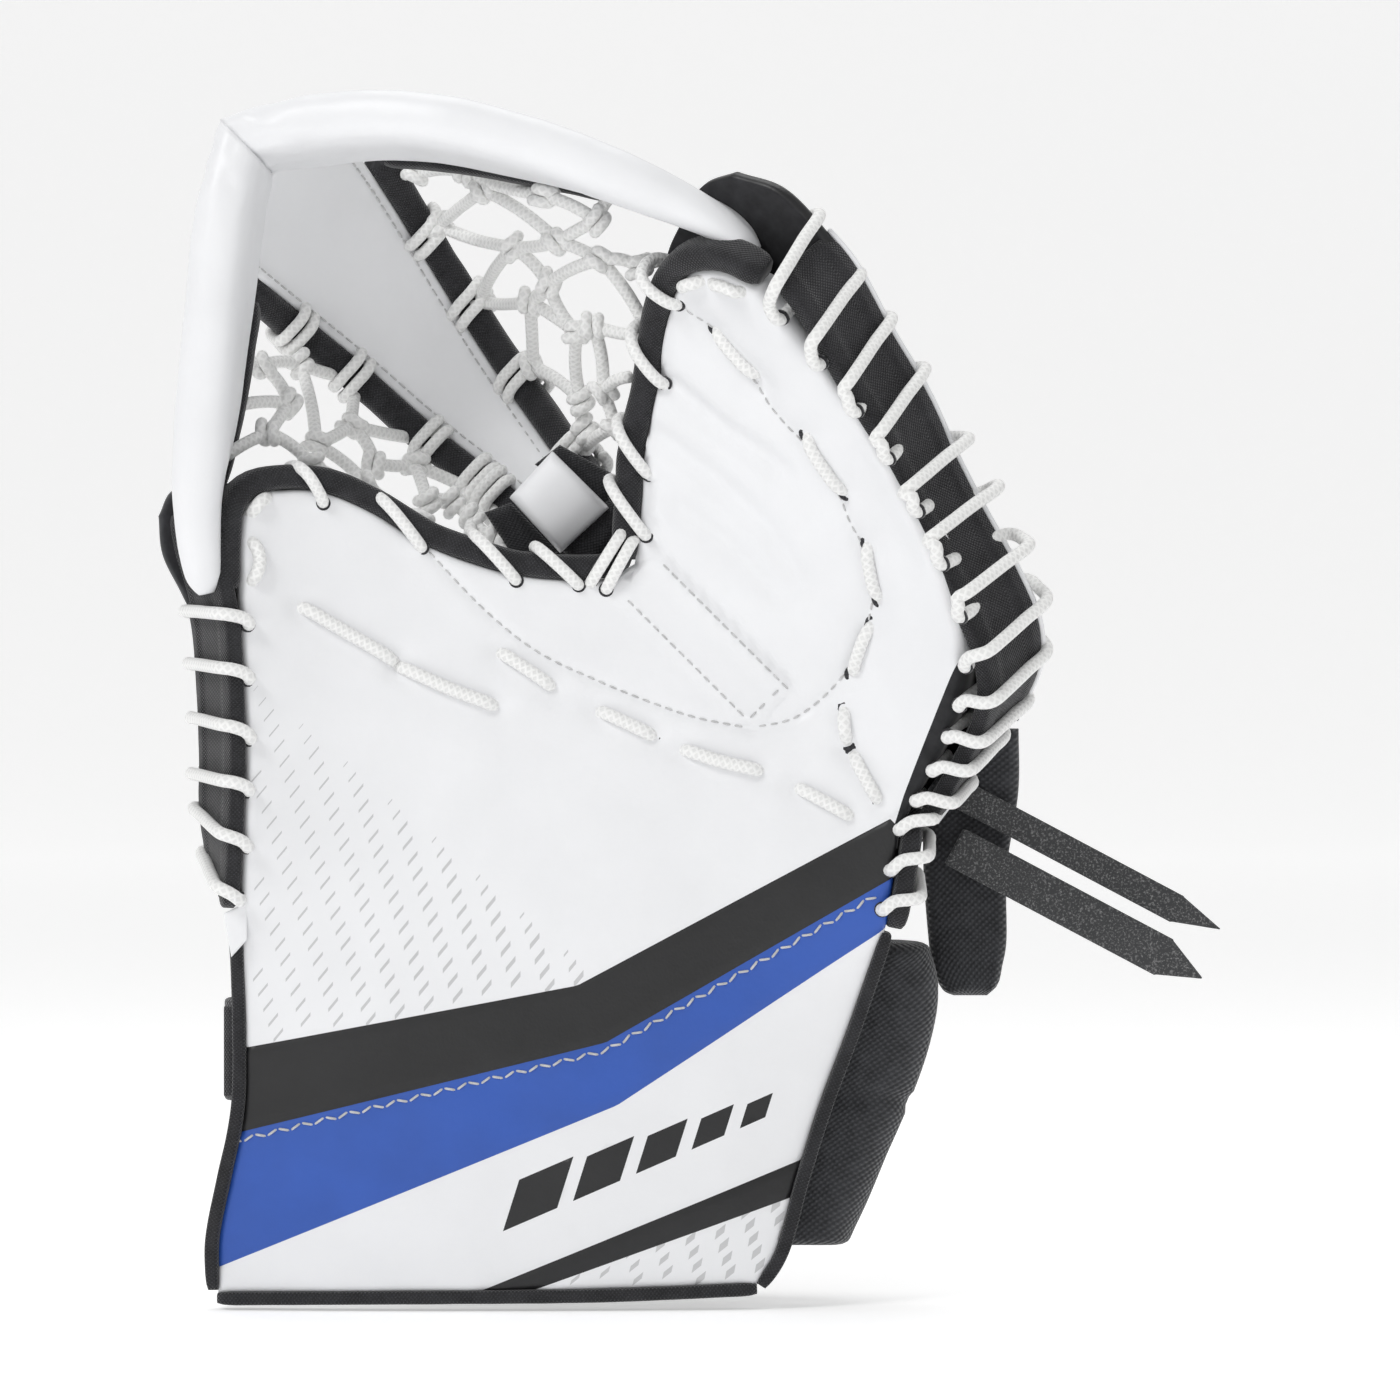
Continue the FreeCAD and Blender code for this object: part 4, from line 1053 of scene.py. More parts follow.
def over_binding(shell, outer, hole):
    """A lace that comes up behind a pocket edge's binding, over it and down into the padding."""
    (ax, az), (bx, bz) = outer, hole
    route = []
    for share, depth in ((0.5, 15.5), (0.25, 15.2), (0.0, 11), (-0.06, 6), (-0.02, 1), (0.1, -2.6),
                         (0.33, -4.4), (0.62, -3.9), (0.86, -2.3), (0.98, 0.0), (1.0, 5.0)):
        x, z = ax + (bx - ax) * share, az + (bz - az) * share
        route.append(surface(x, z) + back_normal(x, z) * depth)
    shell.tube(smooth(route, 1.2), LACE_R * 0.95, sides=12)


PALM_OVER = [((-77.6, 291.5), (-68.9, 278.9)), ((-49.5, 281), (-34.6, 263.4)),
             ((-16.4, 268.0), (-1.5, 251.9)), ((6, 263.4), (20.4, 250.3)), ((35.5, 268.6), (24.5, 251.0)),
             ((39.5, 266), (30, 248.8))]
FINGER_OVER = [((42.8, 358.6), (55.2, 347.0)), ((39, 337.4), (50.5, 320.2)), ((34, 306.4), (45.1, 289.1)),
               ((31.3, 285.9), (44.0, 267.7))]
# Short runs that lie beside the bindings at the thumb's corner and the fingertip
THUMB_CORNER = [[(-93.5, 274.5), (-91, 279), (-87, 281)], [(-93.2, 266), (-91.0, 258.5), (-93.2, 250.5)]]
FINGER_TIP = [[(55.5, 352.0), (59.5, 354.5), (64.5, 354.8)], [(66.5, 354.0), (72, 353.5), (78.2, 350.0)]]


def edge_laces():
    for name, holes, edge, sign, reach, node, holder in (
        ("finger_edge_cord", FINGER_HOLES, FINGER_EDGE, -1, 9.8, "finger_edge_lace", ON_FINGERS),
        ("heel_cord", HEEL_HOLES, HEEL_EDGE, -1, 8.0, "heel_lace", ON_PALM),
        ("thumb_edge_cord", THUMB_HOLES, THUMB_EDGE, 1, 7.0, "thumb_edge_lace", "palm"),
    ):
        shell = Shell()
        winding(shell, holes[::-1], edge, sign, reach, BAND_DEPTH, 0.35 if sign == 1 else 0.8)
        # painted shade: a dark disc at each hole
        for x, z in holes:
            hole_shade_disc(shell, x, z, 2.7)
        held(shell.make(name, MATERIALS["lace"], MATERIALS["cloth"]), holder, "lace", node)
    for name, runs, beside, holder in (("palm_pocket_cord", PALM_OVER, THUMB_CORNER, ON_PALM),
                                       ("finger_pocket_cord", FINGER_OVER, FINGER_TIP, ON_FINGERS)):
        shell = Shell()
        for run in beside:
            shell.tube(dipped(run), LACE_R, sides=12)
        for outer, hole in runs:
            over_binding(shell, outer, hole)
            # painted shade: a dark disc at the hole
            hole_shade_disc(shell, *hole, 2.5)
        held(shell.make(name, MATERIALS["lace"], MATERIALS["cloth"]), holder, "lace")


# ---- T trap ----------------------------------------------------------------------------------------

# Along the stem: place along the fold, offset across it, depth, half width of the white leather.
# The last row tucks it behind the T's corner.
STEM = [(170, -5, -4, 6.5), (190, -3, 13, 8), (215, -1.5, 28, 11), (245, -0.5, 38, 15.5), (275, 2, 38, 20),
        (303, 4, 27, 25), (322, 5, 10, 28), (334, 5, -9, 29), (342, 5, -24, 25)]
ROLL = [(9.5, 0), (8.0, -6), (3.4, -9.2), (-3.4, -9.2), (-8.0, -6), (-9.5, 0), (-8.8, 12), (-7.4, 22),
        (-6.4, 34), (-3.5, 40), (1.5, 40), (4.4, 34), (6.4, 22), (8.6, 12)]
ARM_THUMB = [(-92, -44, 418, 0.20, 0.90, 0.80), (-98.5, -50, 399, 0.20, 0.94, 0.86),
             (-103.6, -55, 376, 0.20, 1, 1), (-107.0, -59, 339, 0.16, 1.0, 1.0),
             (-110.0, -58, 304, 0.10, 1.0, 0.92), (-111.8, -56, 279, 0.0, 0.92, 0.66),
             (-110.8, -54, 258, -0.2, 0.76, 0.40), (-109.0, -51, 247, -0.2, 0.55, 0.25)]
ARM_FINGER = [(-112, -44, 400, 0.20, 0.90, 0.80), (-92, -50, 407, 0.20, 0.94, 0.86),
              (-70, -56, 411, 0.2, 1, 1), (-47, -62, 412, 0.18, 1, 1), (-22, -68, 409, 0.16, 1, 1),
              (9, -72, 400.5, 0.1, 1, 1), (37, -74, 389.5, 0.0, 0.95, 0.84),
              (58, -73, 380.5, -0.2, 0.78, 0.60), (73, -72, 372.5, -0.4, 0.5, 0.4),
              (83, -70, 365.5, -0.4, 0.24, 0.2)]
CORNER_BLEND = 46.0


def stem_frames(rows):
    """Places, across and back directions along the stem."""
    x, z = from_uv(rows[:, 0], rows[:, 1])
    place = np.stack([x, rows[:, 2], z], 1)
    across = unit(np.array([[1.0, 0.0, 1.0]]))
    run = np.gradient(place, axis=0)
    run = unit(run - across * (run @ across[0])[:, None])
    return place, np.repeat(across, len(place), 0), -unit(np.cross(across, run))


def stem():
    rows = smooth(STEM, 2.0)
    rows = rows[rows[:, 0] > 178]
    place, across, back = stem_frames(rows)
    rings = []
    for i, half in enumerate(rows[:, 3]):
        profile = box_profile(2 * half, 10.6, 0, 5.4, 9.0, 60)
        puff = np.where(profile[:, 1] < 3, -1.6 * (1 - (profile[:, 0] / half) ** 2), 0)
        rings.append(place[i] + across[i] * profile[:, :1] + back[i] * (profile[:, 1] + puff)[:, None])
    rings = np.array(rings)
    flat = rings.reshape(-1, 3)
    ripple = 0.55 * wave(flat, 24, 1) + 0.16 * wave(flat, 8, 2)
    rings -= back[:, None] * ripple.reshape(rings.shape[:2])[..., None]
    shell = Shell()
    shell.loft(rings)
    cover = shell.make("stem_cover", MATERIALS["white"])
    held(cover, "t_stem", "white_leather", "t_stem_leather", "t_stem_core", "t_stem_back", fill=0.7)
    thread = Shell()
    for sign in (-1, 1):
        inset = sign * (rows[:, 3] - 3.6)
        line = place + across * inset[:, None] - back * 0.75
        stitches(thread, line[6:-8], -back[6:-8], radius=0.34)
    held(thread.make("stem_stitching", MATERIALS["thread"]), "t_stem", "white_leather")
    short = rows[rows[:, 0] < 320]
    for name, sign in (("thumb", -1), ("finger", 1)):
        place, across, back = stem_frames(short)
        edge = place + across * (sign * short[:, 3])[:, None]
        shell = Shell()
        profile = box_profile(11.4, 14, 5.3, 5.4, 3.2)
        sweep(shell, (edge, across * sign, back), profile, lump=0.45, seed=sign * 3.0)
        made = shell.make(f"stem_band_{name}", MATERIALS["nylon"])
        held(made, "t_stem", "black_nylon", f"t_stem_binding_{name}")


def closed_curve(points, count=4):
    """Places round a smooth closed line through the points."""
    at = [np.array(p, float) for p in points]
    made = []
    for i in range(len(at)):
        a, b, c, d = (at[(i + k - 1) % len(at)] for k in range(4))
        made += [spline(a, b, c, d, t) for t in np.arange(count) / count]
    return np.array(made)


def arm_rings(points, inward):
    rows = smooth(points, 2.0)
    place = rows[:, :3]
    tangent = unit(np.gradient(place, axis=0))
    across = unit(np.cross(tangent, (0.0, 1.0, 0.0)))
    across *= np.where(across @ inward > 0, -1, 1)[:, None]
    back = unit(np.array([[0.0, 1.0, 0.0]]) - across * rows[:, 3:4])
    outward = unit(across - back * np.sum(across * back, 1, keepdims=True))
    profile = closed_curve(ROLL)
    reach = np.where(profile[:, 1] < 0, profile[:, 1][None], profile[:, 1][None] * rows[:, 5:6])
    return (place[:, None] + outward[:, None] * (profile[:, 0][None] * rows[:, 4:5])[..., None]
            + back[:, None] * reach[..., None]), rows, outward, back


def mitred(rings, sign):
    """Slides each line along an arm so that it starts on the corner's plane."""
    v = sign * (fold_uv(rings[..., 0], rings[..., 2])[1] - CORNER_V)
    made = np.empty_like(rings)
    count = len(rings)
    for k in range(rings.shape[1]):
        first = int(np.argmax(v[:, k] > 0))
        share = -v[first - 1, k] / (v[first, k] - v[first - 1, k])
        start = rings[first - 1, k] + (rings[first, k] - rings[first - 1, k]) * share
        made[:, k] = resampled(np.vstack([start, rings[first:, k]]), count)
    return made


def resampled(line, count):
    lengths = lengths_of(line)
    return places_at(line, lengths, np.linspace(0, lengths[-1], count))


def t_arms():
    for side, points, inner, sign, seed, holder, nodes, tape_start, tape_end in (
        ("thumb", ARM_THUMB, (1, 0, -0.2), -1, 3.0, ("palm", "t_stem", CORNER_V - CORNER_BLEND, CORNER_V),
         ["t_arm_thumb"], 38, 18),
        ("finger", ARM_FINGER, (0, 0, -1), 1, 8.0, ("t_stem", "fingers", CORNER_V, CORNER_V + CORNER_BLEND),
         ["t_arm_finger", "t_corner"], 33, 14),
    ):
        rings, rows, outward, back = arm_rings(points, np.array(inner, float))
        flat = rings.reshape(-1, 3)
        dents = 0.8 * wave(flat, 34, seed) + 0.35 * wave(flat, 13, seed + 1)
        dents += 0.10 * wave(flat, 5, seed + 2)
        corner = np.exp(-((flat[:, 0] + 98) ** 2 + (flat[:, 2] - 406) ** 2) / 26.0 ** 2)
        dents += corner * (2.2 * wave(flat, 11, seed + 5) + 0.9 * wave(flat, 5, seed + 6))
        away = unit(rings - rings.mean(1, keepdims=True))
        rings = rings + away * dents.reshape(rings.shape[:2])[..., None]
        for i, share in enumerate((0.55, 0.8, 0.93)):
            middle = rings[-1 - i].mean(0)
            rings[-1 - i] = middle + (rings[-1 - i] - middle) * share
        shell = Shell()
        shell.loft(mitred(rings, sign))
        cover = shell.make(f"t_arm_cover_{side}", MATERIALS["white"])
        held(cover, holder, "white_leather", *nodes, fill=0.7)
        edge = rows[:, :3] + back * 40 * rows[:, 5:6] - outward * 1.5 * rows[:, 4:5]
        first = int(np.argmax(sign * (fold_uv(edge[:, 0], edge[:, 2])[1] - CORNER_V) > tape_start))
        last = len(edge) - tape_end
        shell = Shell()
        frames = (edge[first:last], outward[first:last], back[first:last])
        sweep(shell, frames, box_profile(9.4, 8.5, 0, 5.2, 3.5), lump=0.3, seed=seed)
        made = shell.make(f"t_arm_tape_{side}", MATERIALS["nylon"])
        held(made, holder, "black_nylon", f"t_arm_binding_{side}")


# ---- nets ------------------------------------------------------------------------------------------

# Knots of the nets in the front view, and the cords between them
RIGHT_KNOTS = [(-30.8, 380.8), (-13.3, 390.8), (-3.3, 370.8), (13, 371.4), (26.8, 378.3), (28, 364.5),
               (9.3, 357.6), (-17, 353.9), (2.4, 352), (19.3, 340.1), (25.5, 342), (41.8, 362),
               (3, 330.1), (20.5, 317), (28.6, 319.5), (21.8, 307), (33, 307), (20.5, 299.5),
               (-38, 398.5), (-20, 397.5), (8, 387.5)]
RIGHT_CORDS = [(1, 2), (1, 3), (2, 4), (3, 8), (3, 7), (3, 4), (4, 5), (4, 6), (6, 7), (6, 12), (7, 10),
               (7, 9), (8, 9), (9, 13), (9, 10), (10, 11), (11, 15), (10, 14), (13, 14), (14, 16),
               (15, 17), (16, 18), (17, 18), (19, 20), (20, 21), (2, 20), (5, 21)]
RIGHT_ENDS = [(6, (43, 343)), (11, (42, 338)), (12, (48, 364)), (5, (31, 386)), (17, (38.5, 306)),
              (15, (38, 324))]
RIGHT_WRAPS = [1, 8, 13, 18]
LEFT_KNOTS = [(-82.6, 342), (-93.3, 329.5), (-80.8, 330.8), (-60.8, 327), (-83.3, 315.8), (-62, 308.3),
              (-32, 304.5), (-73.3, 300.8), (-53.3, 294.5), (-39.5, 294.5), (-89.5, 304.5), (-74.5, 293.3),
              (-55.8, 287), (-34.5, 280.8), (-19.5, 285.8), (-25.8, 280.8), (-12, 283.3), (-18.3, 274.5),
              (-37, 273.3), (-9.5, 267)]
LEFT_CORDS = [(1, 3), (3, 2), (2, 5), (3, 4), (3, 8), (4, 6), (5, 11), (6, 8), (6, 7), (6, 9), (7, 10),
              (8, 13), (9, 10), (10, 15), (10, 14), (13, 19), (11, 12), (12, 13), (14, 16), (15, 17),
              (16, 18), (17, 20), (18, 20)]
LEFT_ENDS = [(2, (-103, 333)), (11, (-104, 296)), (12, (-76, 286)), (19, (-36, 268)), (18, (-18, 262)),
             (20, (-8, 259)), (5, (-104, 313))]
LEFT_WRAPS = [1, 4, 7, 15, 17]


def stem_at(u):
    """The stem's offset, depth and half width, its tapes included, at places along the fold."""
    rows = np.array(STEM[:8], float)
    return (np.interp(u, rows[:, 0], rows[:, 1]), np.interp(u, rows[:, 0], rows[:, 2]),
            np.interp(u, rows[:, 0], rows[:, 3]) + 8.4)


def net_place(x, z, sign):
    """A place on the net, which sags from the rim to the stem's deeper edge."""
    rim, width = (-24, 46) if sign < 0 else (-36, 50)
    u, v = fold_uv(x, z)
    offset, depth, half = stem_at(np.clip(u, 171, 333))
    t = np.clip((sign * (v - offset) - half) / width, 0, 1)
    return np.array([x, (depth + 5) * (1 - t) ** 1.6 + rim * (1 - (1 - t) ** 1.6), z])


def net_cord(shell, start, end, sign, seed):
    """A cord of the net between two places in the front view, a little slack."""
    path = []
    bow = 1.3 * math.sin(seed * 2.7)
    run = np.subtract(end, start)
    side = np.array([-run[1], run[0]]) / max(np.linalg.norm(run), 1e-6)
    for t in np.linspace(0, 1, max(5, int(np.linalg.norm(run) / 1.6))):
        x, z = np.array(start) + run * t + side * bow * math.sin(math.pi * t)
        path.append(net_place(x, z, sign) + (0, 1.2 * math.sin(math.pi * t) * math.cos(seed), 0))
    shell.tube(path, LACE_R, sides=12)


def knot(shell, x, z, sign, seed):
    """A turn and a half of cord wrapped round the crossing."""
    middle = net_place(x, z, sign)
    angle = seed * 1.7
    axis = unit(np.array([math.cos(angle), 0.25 * math.sin(seed), math.sin(angle)]))
    first = unit(np.cross(axis, (0, 1, 0)))
    second = np.cross(axis, first)
    path = []
    for t in np.linspace(0, 1.45, 30):
        turn = 2 * math.pi * t
        shift = axis * (t - 0.72) * 4.4
        path.append(middle + shift + first * 3.1 * math.cos(turn) + second * 3.1 * math.sin(turn))
    shell.tube(path, KNOT_R, sides=12)


def wrapped_binding(shell, x, z, sign):
    """A cord that goes twice round the stem's tape."""
    u = fold_uv(x, z)[0]
    rows = smooth(STEM[:8], 2.0)
    place, across, back = stem_frames(rows)
    i = int(np.argmin(np.abs(rows[:, 0] - u)))
    middle = place[i] + across[i] * sign * (rows[i, 3] + 5.4)
    run = unit(place[min(i + 1, len(place) - 1)] - place[max(i - 1, 0)])
    path = []
    for t in np.linspace(0, 2.0, 60):
        turn = 2 * math.pi * t
        c, s = math.cos(turn), math.sin(turn)
        wide = 8.1 * np.sign(c) * abs(c) ** 0.6
        deep = 9.5 * np.sign(s) * abs(s) ** 0.6
        path.append(middle + across[i] * wide + back[i] * (5.4 + deep) + run * (t - 1) * 5.2)
    shell.tube(smooth(path, 1.2), KNOT_R, sides=12)


def nets():
    for side, knots, cords, ends, wraps, sign, holder in (
        ("finger", RIGHT_KNOTS, RIGHT_CORDS, RIGHT_ENDS, RIGHT_WRAPS, 1, ("t_stem", "fingers", 22, 60)),
        ("thumb", LEFT_KNOTS, LEFT_CORDS, LEFT_ENDS, LEFT_WRAPS, -1, ("palm", "t_stem", -60, -20)),
    ):
        shell = Shell()
        for i, (a, b) in enumerate(cords):
            net_cord(shell, knots[a - 1], knots[b - 1], sign, i + 1.0)
        for i, (a, end) in enumerate(ends):
            net_cord(shell, knots[a - 1], end, sign, i + 5.0)
        for i, (x, z) in enumerate(knots):
            knot(shell, x, z, sign, i + 1.0)
        held(shell.make(f"net_cords_{side}", MATERIALS["lace"]), holder, "lace", f"net_{side}")
        shell = Shell()
        for k in wraps:
            wrapped_binding(shell, *knots[k - 1], sign)
        held(shell.make(f"stem_wraps_{side}", MATERIALS["lace"]), "t_stem", "lace")


def slab(name, corners, y, thickness, material, body, slot, edge=4.5, crown=0.0):
    """A small piece with rounded edges between four corners in the front view, perhaps crowned."""
    corners = [np.array((x, y, z)) for x, z in corners]
    shares = (0, 0.33, 0.67, 1)
    grid = []
    for t in shares:
        left, right = corners[0] * (1 - t) + corners[3] * t, corners[1] * (1 - t) + corners[2] * t
        grid.append([left * (1 - s) + right * s - (0, crown * 4 * s * (1 - s), 0) for s in shares])
    made = pad(name, grid, thickness, [material, material], edge=min(edge, thickness * 0.9), step=1.0)
    held(made, body, slot)


def stem_base():
    """The keeper and webbing that hold the foot of the stem at the crotch."""
    slab("stem_keeper", [(30.6, 278.6), (10.7, 298.4), (-4.6, 281.7), (13, 262.4)], 1.0, 8.0,
         MATERIALS["white"], "t_stem", "white_leather", 3.4, 4.0)
    for side, corners, y, thick in (
        ("upper", [(35, 289), (13, 301), (4, 294), (29, 278)], 6.0, 7.0),
        ("left", [(12.5, 262.5), (-4.5, 280.3), (-13.8, 276.8), (-2.5, 259.3)], 3.5, 6.0),
        ("right", [(39, 275.8), (30.5, 281.3), (12.3, 264.3), (24.3, 255)], 2.5, 6.0),
    ):
        slab(f"stem_webbing_{side}", corners, y, thick, MATERIALS["nylon"], "t_stem", "black_nylon")


# ---- back ------------------------------------------------------------------------------------------

THUMB_BACK = [[(-34, 140), (-96.9, 140)],
              [(-96.9, 140), (-95.9, 154), (-94.5, 189), (-97, 228), (-104, 247), (-110, 262), (-111, 276)],
              [(-111, 276), (-106, 286), (-92, 288.5)],
              [(-92, 288.5), (-70, 284.5), (-52.5, 277), (-34, 265.4)],
              [(-34, 265.4), (-34, 140)]]
HAND_BACK = [[(-33.4, 128), (-33.4, 264.5)], [(-33.4, 264.5), (-7, 255.5), (14, 252.7), (30, 253), CROTCH],
             [CROTCH, HEEL], [HEEL, (130.5, 143.5), (127.8, 128)], [(127.8, 128), (-33.4, 128)]]
FINGER_BACK = [[CROTCH, (41, 285), (39, 320), (38, 350), (43, 364.5)],
               [(43, 364.5), (48, 373), (58, 375.5)], [(58, 375.5), (76, 367), (97.8, 342.5)],
               [(97.8, 342.5), (107, 320.5), (119, 295.8), (133, 266), (145.3, 241.5), (153.3, 222.3),
                (154, 207), (145.3, 187), HEEL], [HEEL, CROTCH]]
TIP_SEAM = 318.0
BACK_NEAR, BACK_FAR = 29.6, 33.6   # the back panels' two faces, behind the catching surface

THUMB_CHANNELS = [smooth([(-66, 143), (-66, 200), (-73, 262)], 2.5),
                  smooth([(-92, 236), (-66, 240), (-38, 234)], 2.5),
                  smooth([(-94, 186), (-66, 190), (-37, 186)], 2.5)]
HAND_CHANNELS = [smooth([(-32, 224), (10, 216), (52, 212), (84, 214)], 2.5),
                 smooth([(-32, 176), (40, 172), (120, 172)], 2.5)]
FINGER_CHANNELS = [smooth([(60, 242), (66, 290), (66, 345)], 2.5),
                   smooth([(84, 216), (95, 270), (93, 326)], 2.5),
                   smooth([(108, 192), (124, 236), (120, 282)], 2.5),
                   even(np.array([(38, TIP_SEAM), (108, TIP_SEAM)], float), 2.5)]
BACK_RIMS = [joined(THUMB_BACK), joined(FINGER_BACK[:-1]), joined(HAND_BACK[:2]), joined(HAND_BACK[3:])]


def back_lift(x, z):
    """Quilting of the padded back: it swells between its sewn channels."""
    places = np.stack([np.ravel(x), np.ravel(z)], 1)
    lift = np.full(len(places), 2.2)
    for line in THUMB_CHANNELS + HAND_CHANNELS + FINGER_CHANNELS:
        near = distance(places, line)
        lift -= 2.2 * np.exp(-((near / 4.0) ** 2)) + 0.5 * np.exp(-((near / 0.9) ** 2))
    lift = np.maximum(lift, -1.2)
    for rim in BACK_RIMS:
        lift -= drop(distance(places, rim), 2.6)
    points = np.stack([places[:, 0], np.zeros(len(places)), places[:, 1]], 1)
    lift += 0.6 * wave(points, 40, 11) + 0.25 * wave(points, 14, 12)
    return lift.reshape(np.shape(x))


def on_back(line, far):
    x, z = line[:, 0], line[:, 1]
    back = back_normal(x, z)
    return surface(x, z) + back * (far + back_lift(x, z))[:, None], back


def tip_white(x, z, printed):
    """The outer face's slot: 1 on the fingertip's cap, 0 below its seam."""
    return np.where(z > TIP_SEAM, 1, 0)


def backs():
    for side, sides, channels, holder, nodes in (
        ("thumb", THUMB_BACK, THUMB_CHANNELS, "palm", ["thumb_shell"]),
        ("hand", HAND_BACK, HAND_CHANNELS, ON_PALM, ["backhand_panel"]),
        ("finger", FINGER_BACK, FINGER_CHANNELS, ON_FINGERS, ["finger_shell", "finger_tip_cap"]),
    ):
        keys = ("mesh", "black", "cloth") if side == "finger" else ("mesh", "cloth")
        made = panel(f"{side}_back", joined(sides), BACK_NEAR, BACK_FAR, back_lift, tip_white,
                     [MATERIALS[key] for key in keys], channels, spacing=3.2, outer="back")
        held(made, holder, "black_leather", *nodes, fill=0.6)
        thread = Shell()
        for line in channels:
            stitches(thread, *on_back(line[2:-2], BACK_FAR))
        held(thread.make(f"{side}_back_stitching", MATERIALS["dark_thread"]), holder, "black_nylon")


# Middle lines of the two loose padded flaps: x, depth, z, half width, turn of the outer edge to the front
HEEL_FLAP = [(160, 22, 104, 6, 0.03), (160, 22, 107, 10, 0.03), (159, 21.5, 114, 12.5, 0.03),
             (159, 21, 124, 14, 0.03), (158, 18.5, 150, 15, 0.03), (160, 16, 178, 17, 0.05),
             (160, 13.5, 200, 17, 0.1)]
FINGER_FLAP = [(160, 5, 204, 17, 0.25), (160, 0, 220, 18, 0.35), (158, -5, 234, 18, 0.45),
               (151, -17, 258, 15, 0.6), (143, -26, 276, 11, 0.7)]


def flaps():
    def quilt(s, t, width, height):
        rolled = np.exp(-((np.minimum(s, width - s) - 5.5) / 1.2) ** 2)
        return 1.3 * np.sin(np.pi * s / width) - 1.0 * rolled

    for name, line, body, node in (("heel_flap", HEEL_FLAP, "palm", "backhand_pad"),
                                   ("finger_flap", FINGER_FLAP, "fingers", "finger_side_pad")):
        rows = []
        places = np.array([p[:3] for p in line], float)
        runs = unit(np.gradient(places, axis=0))
        for place, run, (_, _, _, half, turn) in zip(places, runs, line):
            across = np.array([1.0, -turn, 0.0])
            across = unit(across - run * (across @ run))
            rows.append([place + across * half * s for s in (-1, -0.33, 0.33, 1)])
        made = pad(name, rows, 10.0, [MATERIALS["mesh"], MATERIALS["cloth"]], quilt, edge=4.5, step=2.4)
        held(made, body, "black_leather", node, fill=0.6)


# ---- wrist and straps ------------------------------------------------------------------------------

WRIST_ROWS = [(17, 90, 114, 28), (32, 92, 121, 34), (50, 96, 129, 39), (70, 102, 138, 42),
              (90, 108, 145, 44), (108, 114, 147, 44), (124, 120, 143, 43)]


def wrist_outline(front, side, depth):
    return np.array([(front, -19), (front + 0.7 * (side - front), -14), (side, 2), (side - 8, depth * 0.55),
                     (side - 28, depth * 0.85), (side - 52, depth * 0.96), (side - 78, depth),
                     (side - 106, depth), (side - 134, depth - 1), (side - 162, depth - 4)], float)


def standing(plan, offset, heights):
    """A coarse grid over a plan line pushed to its right-hand side, at several heights."""
    run = unit(np.gradient(np.asarray(plan, float), axis=0))
    moved = np.asarray(plan, float) + np.stack([run[:, 1], -run[:, 0]], 1) * offset
    return [[(x, y, z) for x, y in moved] for z in heights]


def wrist():
    rows = []
    for z, front, side, depth in WRIST_ROWS:
        rows += standing(wrist_outline(front, side, depth), -5.5, [z])

    def quilt(s, t, width, height):
        across = np.exp(-(((s % 62) - 40) / 3.2) ** 2)
        along = np.exp(-((t - height * 0.5) / 3.0) ** 2)
        return 1.4 - 1.9 * np.maximum(across, along)

    made = pad("wrist_pad_cover", rows, 10.6, [MATERIALS["mesh"], MATERIALS["cloth"]], quilt, edge=4.6,
               step=2.6)
    held(made, "palm", "black_leather", "wrist_pad", fill=0.6)
    line = [(-98.5, -14), (-103.5, -3), (-101.5, 14), (-87, 29), (-58, 40), (-24, 46.5), (12, 48.5),
            (44, 48.2)]

    def ribs(s, t, width, height):
        return 0.25 * np.cos(2 * np.pi * t / 4.5)

    strap = pad("wrist_strap_cover", standing(line, -1.2, (68, 80, 92, 104)), 2.4,
                [MATERIALS["nylon"], MATERIALS["cloth"]], ribs, edge=1.3, step=1.5)
    held(strap, "wrist_strap", "black_nylon", "wrist_strap")
    tab = [(-96, -22), (-100.5, -20.4), (-103.5, -17.2)]
    anchor = pad("strap_anchor_cover", standing(tab, -1.5, (70, 80, 92, 102)), 3.0,
                 [MATERIALS["nylon"], MATERIALS["nylon"]], edge=1.5, step=1.5)
    held(anchor, "palm", "black_nylon", "strap_anchor")
    hand = [(-64, -5.5), (-36, 3.4), (-4, 10), (28, 12.5), (60, 12), (92, 8.5), (123.6, 4)]
    backstrap = pad("hand_strap_cover", standing(hand, 1.5, (150, 161, 172, 183)), 3.0,
                    [MATERIALS["nylon"], MATERIALS["nylon"]], edge=1.5, step=2.0)
    held(backstrap, "palm", "black_nylon", "hand_strap")


STRAPS = {
    "strap_upper": ((152, 178.5), (233, 135.5), (248.9, 128.1), 10.5, 6),
    "strap_lower": ((153.5, 158.0), (228, 118.5), (242, 110.8), 14.5, 1),
}


